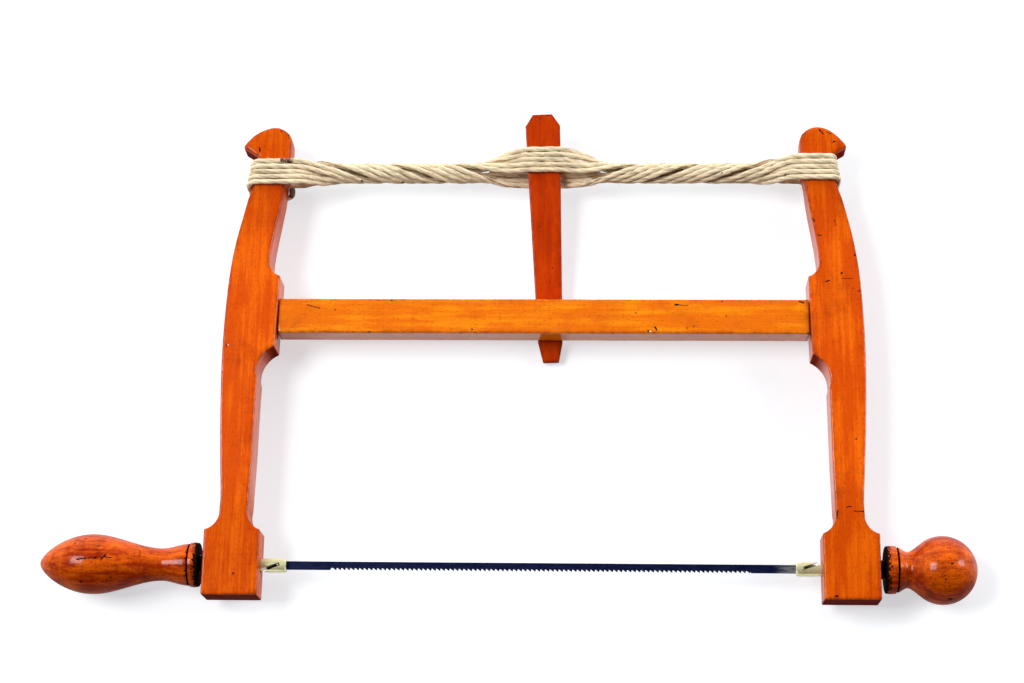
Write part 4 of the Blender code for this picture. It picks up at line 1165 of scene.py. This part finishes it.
LEAN = toggle_lean()
top, foot, tip = TOGGLE_TOP_WIDTH / 2, TOGGLE_FOOT_WIDTH / 2, TOGGLE_TIP_WIDTH / 2
toggle_side = [
    (top - TOGGLE_TOP_CHAMFER, TOGGLE_ABOVE), (top, TOGGLE_ABOVE - TOGGLE_TOP_DROP),
    (foot, TOGGLE_TIP_LENGTH - TOGGLE_BELOW), (tip, -TOGGLE_BELOW)]
toggle_outline = [Vector((-x, y)) for x, y in toggle_side]
toggle_outline += [Vector((x, y)) for x, y in reversed(toggle_side)]
toggle_dents = [
    (0.0036, TOGGLE_ABOVE - 0.0006, 0.0018, 0.0006, 1), (-0.0015, TOGGLE_ABOVE - 0.0030, 0.0009, 0.0003, 1),
    (0.0030, -0.0600, 0.0010, 0.0002, 1), (-0.0040, -0.0350, 0.0011, 0.0003, 1)]
toggle_mesh = board(
    "toggle", round_off(toggle_outline, TOGGLE_CORNER_ROUND), toggle_half_thickness,
    worn_rounding(TOGGLE_EASE, 8.1), toggle_dents, grid=0.0024)
toggle_mesh.transform(Matrix.Translation((0, CORD_RISE, 0)) @ Matrix.Rotation(LEAN, 4, "X")
                      @ Matrix.Rotation(TOGGLE_SLEW, 4, "Z"))
STAINED_WOOD = varnished_beech(
    "stained_wood", (0.62, 0.053, 0.001), (0.42, 0.026, 0.001), ALONG_Y, (12.0, 5.0, 71.0), 0.22,
    streaks=0.45, patches=0.5, rays=0.3, specks=0.6, smudges=0.2)
dress("winding_toggle", toggle_mesh, STAINED_WOOD, "toggle_wood", "toggle", "toggle")


# Tension cord
# One length of three-ply linen twine, wound five times round both heads and twisted by the toggle
# into a rope on each side of it: two strands at its heart and eight round them. One end hangs at the
# left head, the other is tucked behind it. Each half winds up between its head and the toggle.

TWINE_RADIUS = 0.00174
CORD_RADIUS = 0.00145
CORD_LOOPS = 5
WINDING_PITCH = 0.0034
WINDING_DROP = 0.0030
REAR_RISE = 0.0060
BUNDLE_RADIUS = 0.0048
CORE_OFFSET = 0.0013
STRAND_ANGLE = math.radians(38)
CORE_DIP = 0.0006
FAN_SPREAD = 0.0001
HALF_TURNS = 3
TWIST_START = 0.0040
TWIST_RAMP = 0.0220
CHEEK_FAN = 0.0300
TOGGLE_FAN = 0.0400
TOGGLE_PITCH = 0.0032
TOGGLE_SPLIT = 0.0040
TOGGLE_LIFT = 0.0036
WRAP_GAP = 0.0003
WRAP_ROUND = 0.0024
TAIL_LENGTH = 0.0075
END_LENGTH = 0.0140
TWINE_LAY = 0.0250
TWINE_STEP = 0.0010
STRAND_STEPS = 72
CORNER_STEPS = 8
TWINE_WANDER = 0.00040
FIBRES = 30000.0
FIBRE_RADIUS = 0.00004
# Strength of the twine's stains and of its painted shade lines.
STAIN_AND_SHADE_DEPTH = 0.96
HEAD_INNER_X = SHOULDER_X - HEAD_OVERHANG


def outer_edge_at(y, side):
    """Distance of the outer edge from the stretcher's shoulder at a height near the cord."""
    edge = outer_edge(side, 3)
    for below, above in zip(edge, edge[1:]):
        if below.y <= y <= above.y:
            return below.x + (above.x - below.x) * (y - below.y) / (above.y - below.y)
    return edge[-1].x


def twist_at(x):
    """Turn of the bundle about the cord's axis: none at the cheeks, the full twist at the toggle."""
    total = HALF_TURNS * math.pi + LEAN
    start = HEAD_INNER_X - TWIST_START
    length = start - TOGGLE_TOP_WIDTH / 2
    s = min(max(start - abs(x), 0.0), length)
    rate = total / (length - TWIST_RAMP)
    if s < TWIST_RAMP:
        return rate * s * s / (2 * TWIST_RAMP)
    if s > length - TWIST_RAMP:
        return total - rate * (length - s) ** 2 / (2 * TWIST_RAMP)
    return rate * (s - TWIST_RAMP / 2)


def near_cheek(x):
    """1 at a head's inner edge, falling to 0 where the strands have drawn together."""
    return 1 - ease((HEAD_INNER_X - abs(x)) / CHEEK_FAN)


def near_toggle(x):
    """1 beside the toggle, falling to 0 where the strands have drawn together."""
    share = min(max((abs(x) - TOGGLE_TOP_WIDTH / 2) / TOGGLE_FAN, 0.0), 1.0)
    return 1 - math.sin(share * math.pi / 2) ** 1.3


def level_height(level, side):
    """Height of a turn of the winding on a head, about the cord's axis; it sits lower on the left."""
    height = (level - (CORD_LOOPS - 1) / 2) * WINDING_PITCH
    return height - WINDING_DROP if side < 0 else height


def winding_offset():
    """Distance of the winding's strands from the middle of a head, clear of its thickest place."""
    return cheek_half_thickness(CORD_RISE + level_height(-1, -1)) + JOINT_GAP + CORD_RADIUS


def strand_section(level, x):
    """Place of a front strand across the bundle, before the twist, for a level of the winding."""
    step = level - (CORD_LOOPS - 1) / 2
    at_cheek, at_toggle = near_cheek(x), near_toggle(x)
    bundled = 1 - at_cheek - at_toggle
    opening = 4 * bundled * (1 - bundled)
    pitch = WINDING_PITCH * at_cheek + TOGGLE_PITCH * at_toggle + FAN_SPREAD * opening
    y = step * pitch + TOGGLE_SPLIT * at_toggle
    z = winding_offset() * at_cheek + (TOGGLE_THICKNESS / 2 + JOINT_GAP + CORD_RADIUS) * at_toggle
    if step == 0:
        return y, z + CORE_OFFSET * bundled - CORE_DIP * opening
    angle = (step - math.copysign(0.5, step)) * STRAND_ANGLE
    return y + BUNDLE_RADIUS * math.sin(angle) * bundled, z + BUNDLE_RADIUS * math.cos(angle) * bundled


def strand(level, front, start, end):
    """Points of one strand from one place along the saw to another, each with the way that faces out."""
    points = []
    facing = 1 if front else -1
    for i in range(STRAND_STEPS + 1):
        x = start + (end - start) * i / STRAND_STEPS
        y, z = strand_section(level if front else CORD_LOOPS - 1 - level, x)
        wander = TWINE_WANDER * noise.noise(Vector((x * 45, level * 3.7, 9.0 if front else 2.0)))
        across = Vector((0, facing * y + wander, facing * z))
        bundled = 1 - near_cheek(x) - near_toggle(x)
        out = across.normalized() * bundled + Vector((0, 0, facing)) * (1 - bundled)
        # Inside the bundle the core strand's way out is shortened, so the twine comes out brown there: painted
        # shade where the core shows in the grooves.
        out = out.normalized() * (1 - 0.8 * bundled if level == CORD_LOOPS // 2 else 1.0)
        turn = Matrix.Rotation(twist_at(x), 3, "X")
        lift = TOGGLE_LIFT * near_toggle(x)
        rise = (0 if front else REAR_RISE) - (WINDING_DROP if x < 0 else 0)
        shift = Vector((x, lift * math.cos(LEAN) + rise * near_cheek(x), lift * math.sin(LEAN)))
        points.append((turn @ across + shift, turn @ out))
    return points


def wrap(side, front_level, rear_level):
    """Points round a head's outer edge, from the front face to the rear, easing from level to level."""
    front_y, rear_y = (level_height(level, side) for level in (front_level, rear_level))
    edge = SHOULDER_X + outer_edge_at(CORD_RISE + min(front_y, rear_y), side)
    reach = WRAP_ROUND + WRAP_GAP + CORD_RADIUS
    rise = winding_offset() - reach
    points = []
    for i in range(2 * CORNER_STEPS):
        front = i < CORNER_STEPS
        angle = math.radians(90) * (1 - (i if front else i - 1) / (CORNER_STEPS - 1))
        x = edge - WRAP_ROUND + reach * math.cos(angle)
        z = reach * math.sin(angle) + (rise if front else -rise)
        y = front_y + (rear_y - front_y) * i / (2 * CORNER_STEPS - 1)
        points.append((Vector((side * x, y, z)), Vector((side * math.cos(angle), 0, math.sin(angle)))))
    return points


def winding(side):
    """The stretches of cord on one side of the toggle, each from the toggle round the head and back."""
    stretches = []
    for level in range(CORD_LOOPS):
        if side > 0:
            stretches.append(
                strand(level, True, 0, HEAD_INNER_X) + wrap(1, level, level)
                + strand(level, False, HEAD_INNER_X, 0))
        elif level:
            stretches.append(
                strand(level - 1, False, 0, -HEAD_INNER_X) + wrap(-1, level, level - 1)[::-1]
                + strand(level, True, -HEAD_INNER_X, 0))
    if side < 0:
        behind = -winding_offset()
        tail_x = JOINT_GAP + CORD_RADIUS - HEAD_INNER_X
        tail_y = level_height(-1, -1)
        tail = smooth([
            (tail_x - 0.0014, tail_y + 0.0054 - TAIL_LENGTH, 0.0),
            (tail_x - 0.0016, tail_y + 0.0017, -0.0005), (tail_x - 0.0020, tail_y + 0.0040, behind * 0.45),
            (tail_x - 0.0030, tail_y + 0.0025, behind * 0.95), (tail_x - 0.0058, tail_y + 0.0008, behind)], 6)
        rearward = Vector((0, 0, -1))
        tail = [(p, rearward) for p in tail]
        stretches.insert(0, tail + wrap(-1, 0, -1)[::-1] + strand(0, True, -HEAD_INNER_X, 0))
        last_y = level_height(CORD_LOOPS - 1, -1)
        width = HEAD_OVERHANG + outer_edge_at(CORD_RISE + last_y, -1)
        end = []
        for run in (END_LENGTH * i / 4 for i in range(1, 5)):
            end.append(Vector((-HEAD_INNER_X - run, last_y + REAR_RISE * (1 - run / width), behind)))
        stretches.append(strand(CORD_LOOPS - 1, False, 0, -HEAD_INNER_X) + [(p, rearward) for p in end])
    return stretches


def path_mesh(name, stretches):
    """Mesh of bare edges along the cord, with its run, its direction and the way out at each point."""
    mesh = bpy.data.meshes.new(name)
    verts, edges, runs, ways, outs = [], [], [], [], []
    for stretch in stretches:
        kept = [stretch[0]]
        kept += [after for before, after in zip(stretch, stretch[1:]) if (after[0] - before[0]).length > 1e-5]
        points = [point for point, _ in kept]
        first = len(verts)
        middle = 0 if abs(points[0].x) < 1e-6 else len(points) - 1
        lengths = [0.0]
        for before, after in zip(points, points[1:]):
            lengths.append(lengths[-1] + (after - before).length)
        for i, (point, out) in enumerate(kept):
            way = (points[min(i + 1, len(points) - 1)] - points[max(i - 1, 0)]).normalized()
            verts.append(point + Vector((0, CORD_RISE, 0)))
            runs.append(lengths[i] - lengths[middle])
            ways += list(way)
            outs += list(out)
        edges += [(first + i, first + i + 1) for i in range(len(points) - 1)]
    mesh.from_pydata(verts, edges, [])
    mesh.attributes.new("run", "FLOAT", "POINT").data.foreach_set("value", runs)
    for title, values in (("way", ways), ("out", outs)):
        mesh.attributes.new(title, "FLOAT_VECTOR", "POINT").data.foreach_set("vector", values)
    return mesh


def laid_twine():
    """Geometry nodes that lay three plies round a path, with loose fibres standing off them."""
    tree, given, result = new_group(
        "laid_twine",
        {"Path": "shape", "Twine Radius": "value", "Lay": "value", "Step": "value", "Fibres": "value",
         "Seed": "count", "Finish": "material"},
        {"Twine": "shape"}, "GeometryNodeTree")

    def named(title, kind="FLOAT_VECTOR"):
        return place(tree, "GeometryNodeInputNamedAttribute", {"Name": title}, data_type=kind).outputs[0]

    def stored(shape, title, value, kind):
        return place(tree, "GeometryNodeStoreNamedAttribute", {
            "Geometry": shape, "Name": title, "Value": value}, data_type=kind, domain="POINT").outputs[0]

    def ringed(sides, radius):
        inputs = {"Resolution": sides, "Radius": radius}
        return place(tree, "GeometryNodeCurvePrimitiveCircle", inputs).outputs[0]

    def drawn_round(path, ring, scale=1.0):
        return place(tree, "GeometryNodeCurveToMesh", {
            "Curve": path, "Profile Curve": ring, "Scale": scale, "Fill Caps": True}).outputs[0]

    radius = given["Twine Radius"]
    curve = place(tree, "GeometryNodeMeshToCurve", {"Mesh": given["Path"]}).outputs[0]
    curve = place(tree, "GeometryNodeResampleCurve", {
        "Curve": curve, "Length": given["Step"]}, mode="LENGTH").outputs[0]
    at = place(tree, "GeometryNodeInputPosition").outputs[0]
    curve = stored(curve, "core", at, "FLOAT_VECTOR")
    way = vectors("NORMALIZE", named("way"))
    upright = (0.0, 1.0, 0.0)
    lean = vectors("DOT_PRODUCT", way, upright)
    across = vectors("NORMALIZE", vectors("SUBTRACT", upright, vectors("SCALE", way, scale=lean)))
    aside = vectors("CROSS_PRODUCT", way, across)
    phase = times(sums("DIVIDE", named("run", "FLOAT"), given["Lay"]), 2 * math.pi)
    ply_offset = times(radius, 0.27)
    uneven = place(tree, "ShaderNodeTexNoise", {"Vector": at, "Scale": 160.0, "Detail": 2.0}).outputs["Fac"]
    swell = spread(uneven, 0.25, 0.75, 0.92, 1.06)
    ring = ringed(8, times(radius, 0.72))
    plies = []
    for k in range(3):
        angle = sums("ADD", phase, 2 * math.pi * k / 3)
        offset = vectors("ADD", vectors("SCALE", across, scale=sums("COSINE", angle)),
                         vectors("SCALE", aside, scale=sums("SINE", angle)))
        offset = vectors("SCALE", offset, scale=ply_offset)
        ply = place(tree, "GeometryNodeSetPosition", {"Geometry": curve, "Offset": offset}).outputs[0]
        plies.append(drawn_round(ply, ring, swell))
    from_core = vectors("SUBTRACT", at, named("core"))
    crest = sums("DIVIDE", vectors("LENGTH", from_core), radius)
    body = stored(joined(*plies), "crest", crest, "FLOAT")
    outward = sums("DIVIDE", vectors("DOT_PRODUCT", from_core, named("out")), radius)
    body = stored(body, "exposed", outward, "FLOAT")

    spots = place(tree, "GeometryNodeDistributePointsOnFaces", {
        "Mesh": body, "Density": given["Fibres"], "Seed": given["Seed"]}).outputs
    stalk = place(tree, "GeometryNodeCurveQuadraticBezier", {
        "Resolution": 4, "Start": (0.0, 0.0, -0.0002), "Middle": (0.0009, 0.0, 0.0002),
        "End": (0.0020, 0.0004, 0.0004)}).outputs[0]
    spin = place(tree, "FunctionNodeRandomValue", {
        0: (0.0, 0.0, 0.0), 1: (0.0, 0.0, 2 * math.pi), "Seed": given["Seed"]},
        data_type="FLOAT_VECTOR").outputs[0]
    spin = place(tree, "FunctionNodeEulerToRotation", {0: spin}).outputs[0]
    turn = place(tree, "FunctionNodeRotateRotation", {
        0: spots["Rotation"], 1: spin}, rotation_space="LOCAL").outputs[0]
    size = place(tree, "FunctionNodeRandomValue", {
        2: 0.5, 3: 1.3, "Seed": given["Seed"]}, data_type="FLOAT").outputs[1]
    fuzz = place(tree, "GeometryNodeInstanceOnPoints", {
        "Points": spots["Points"], "Instance": drawn_round(stalk, ringed(3, FIBRE_RADIUS)),
        "Rotation": turn, "Scale": size}).outputs[0]
    solid = place(tree, "GeometryNodeRealizeInstances", {"Geometry": joined(body, fuzz)}).outputs[0]
    solid = place(tree, "GeometryNodeSetShadeSmooth", {"Geometry": solid}).outputs[0]
    done = place(tree, "GeometryNodeSetMaterial", {"Geometry": solid, "Material": given["Finish"]}).outputs[0]
    feed(result, {"Twine": done})
    return tree


def linen():
    """Pale linen twine, faintly stained and black at its tail, brown where strands lie against each other,
    which is painted shade with some staining, and with painted shade where its twisted halves cross.
    """
    material, tree, shader = new_material("linen_twine")
    at = place(tree, "ShaderNodeTexCoord").outputs["Object"]
    stain = cloudy(at, (110.0, 260.0, 260.0), 4.0, 0.6)
    fibre = cloudy(at, (900.0, 3000.0, 3000.0), 3.0)
    grey = cloudy(at, (70.0, 420.0, 420.0))
    pale = tint(spread(fibre, 0.3, 0.7), (0.98, 0.85, 0.60, 1.0), (0.84, 0.67, 0.43, 1.0))
    pale = tint(spread(grey, 0.50, 0.66, 0.0, 0.65), pale, (0.50, 0.43, 0.29, 1.0))
    pale = tint(spread(stain, 0.50, 0.78, 0.0, 0.75), pale, (0.44, 0.27, 0.12, 1.0))
    # Painted shade with some staining: brown in the valleys between the plies, and on the sides of the strands
    # that face into the bundle or against a head.
    pale = tint(spread(painted(tree, "crest"), 0.76, 0.93, 0.35, 0.0), pale, (0.46, 0.29, 0.13, 1.0))
    ragged = sums("ADD", sums("ABSOLUTE", painted(tree, "exposed")), sums("SUBTRACT", stain, 0.5))
    colour = tint(spread(ragged, -0.05, 0.40, 0.95, 0.0), pale, (0.24, 0.115, 0.042, 1.0))
    from_tail = vectors("DISTANCE", at, HOME + TAIL_END)
    soil_and_shade = spread(from_tail, TAIL_LENGTH * 0.75, TAIL_LENGTH * 1.25, 0.92, 0.0)
    # Stains on the twine, and lines of painted shade where its twisted halves cross.
    soil_and_shade = with_dark_lines(soil_and_shade, at, TWINE_STAINS_AND_SHADE, STAIN_AND_SHADE_DEPTH)
    feed(shader, {
        "Base Color": tint(soil_and_shade, colour, (0.075, 0.012, 0.005, 1.0)), "Normal": bumped(fibre, 0.4, 0.00012),
        "Roughness": 0.85, "Specular IOR Level": 0.2, "Sheen Weight": 0.15, "Sheen Roughness": 0.5})
    return material


# Dark lines on the twine, each (from, to, width): the first is a stain on the top strand by the left head; the
# other four are painted shade across the bundle where its twisted halves cross.
TWINE_STAINS_AND_SHADE = (
    ((-0.1606, 0.0986, 0.0120), (-0.1560, 0.0980, 0.0120), 0.0021),
    ((-0.1133, 0.0918, -0.0060), (-0.1109, 0.0842, 0.0140), 0.0010),
    ((-0.0878, 0.0905, -0.0060), (-0.0857, 0.0829, 0.0140), 0.0010),
    ((0.1093, 0.0970, -0.0060), (0.1081, 0.0892, 0.0140), 0.0007),
    ((0.1479, 0.0956, -0.0060), (0.1462, 0.0879, 0.0140), 0.0008))
TAIL_END = winding(-1)[0][0][0] + Vector((0, CORD_RISE, 0))
LINEN = linen()
LAID_TWINE = laid_twine()
for side, label in ((-1, "left"), (1, "right")):
    twine_mesh = grown(label + "_twine", path_mesh(label + "_path", winding(side)), LAID_TWINE, {
        "Twine Radius": TWINE_RADIUS, "Lay": TWINE_LAY, "Step": TWINE_STEP, "Fibres": FIBRES,
        "Seed": 5 + side, "Finish": LINEN})
    twine_mesh.transform(Matrix.Translation(HOME))
    twine = put(label + "_twine", twine_mesh)
    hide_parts("tension_cord")
    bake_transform(twine)


# Table, light and camera
# The saw lies on a plain white surface, seen from nearly overhead, under a broad soft light high on
# the left, a weaker one far on the right and a room that is dark overhead and bright beyond the cord.

TABLE_REACH = 4.0
TABLE_DROP = 0.0002
TABLE_GLOW = 0.53
MIRRORED_TABLE = 0.6
ROOM_NOT_MIRRORED = 0.86

floor_mesh = bpy.data.meshes.new("table")
bm = bmesh.new()
bmesh.ops.create_grid(bm, x_segments=1, y_segments=1, size=TABLE_REACH)
bmesh.ops.translate(bm, vec=(0, 0, -TABLE_DROP), verts=bm.verts)
bm.to_mesh(floor_mesh)
bm.free()
table = put("table", floor_mesh)
white, tree, paint = new_material("white_table")
feed(paint, {"Base Color": (0.61, 0.625, 0.64, 1.0), "Roughness": 0.7, "Specular IOR Level": 0.1})
rays = place(tree, "ShaderNodeLightPath").outputs
seen = sums("MAXIMUM", rays["Is Camera Ray"], times(rays["Is Glossy Ray"], MIRRORED_TABLE))
glow = place(tree, "ShaderNodeEmission", {
    "Color": (0.98, 1.0, 1.03, 1.0), "Strength": times(seen, TABLE_GLOW)})
both = place(tree, "ShaderNodeAddShader", {0: paint.outputs[0], 1: glow.outputs[0]})
feed(tree.nodes["Material Output"], {"Surface": both.outputs[0]})
floor_mesh.materials.append(white)

world = bpy.data.worlds.new("studio")
world.use_nodes = True
tree = world.node_tree
way = place(tree, "ShaderNodeTexCoord").outputs["Generated"]
sides = place(tree, "ShaderNodeSeparateXYZ", {"Vector": way}).outputs
level = times(spread(sides[2], 0.25, 0.85, 0.85, 0.12), spread(sides[1], -0.8, 0.9, 0.05, 2.9))
mirrored = place(tree, "ShaderNodeLightPath").outputs["Is Glossy Ray"]
level = times(level, sums("SUBTRACT", 1.0, times(mirrored, ROOM_NOT_MIRRORED)))
feed(tree.nodes["Background"], {"Strength": level, "Color": (0.95, 0.97, 1.0, 1.0)})
bpy.context.scene.world = world

for name, direction, distance, size, power in (
        ("left_softbox", (-0.57, 0.06, 0.82), 4.0, (1.7, 1.5), 103.0),
        ("right_softbox", (0.80, 0.20, 0.46), 3.5, (1.0, 1.4), 42.0)):
    data = bpy.data.lights.new(name, "AREA")
    data.shape = "RECTANGLE"
    data.size, data.size_y = size
    data.energy = power
    lamp = put(name, data)
    way = Vector(direction).normalized()
    lamp.location = way * distance
    lamp.rotation_euler = way.to_track_quat("Z", "Y").to_euler()

AIM = Vector((-0.01833, -0.01362, 0.0))
DISTANCE = 1.2934
TILT, TURN, ROLL = (math.radians(a) for a in (16.86, 8.74, 0.92))
LENS = 75.6
back = Vector((math.sin(TILT) * math.sin(TURN), -math.sin(TILT) * math.cos(TURN), math.cos(TILT)))
level_right = Vector((0, 1, 0)).cross(back).normalized()
level_up = back.cross(level_right)
right = level_right * math.cos(ROLL) + level_up * math.sin(ROLL)
up = level_up * math.cos(ROLL) - level_right * math.sin(ROLL)
lens = bpy.data.cameras.new("camera")
lens.sensor_width = 36.0
lens.lens = LENS
camera = put("camera", lens)
camera.matrix_world = (Matrix.Translation(HOME + AIM + back * DISTANCE)
                       @ Matrix((right, up, back)).transposed().to_4x4())
bpy.context.scene.camera = camera
bpy.context.scene.view_settings.view_transform = "Standard"
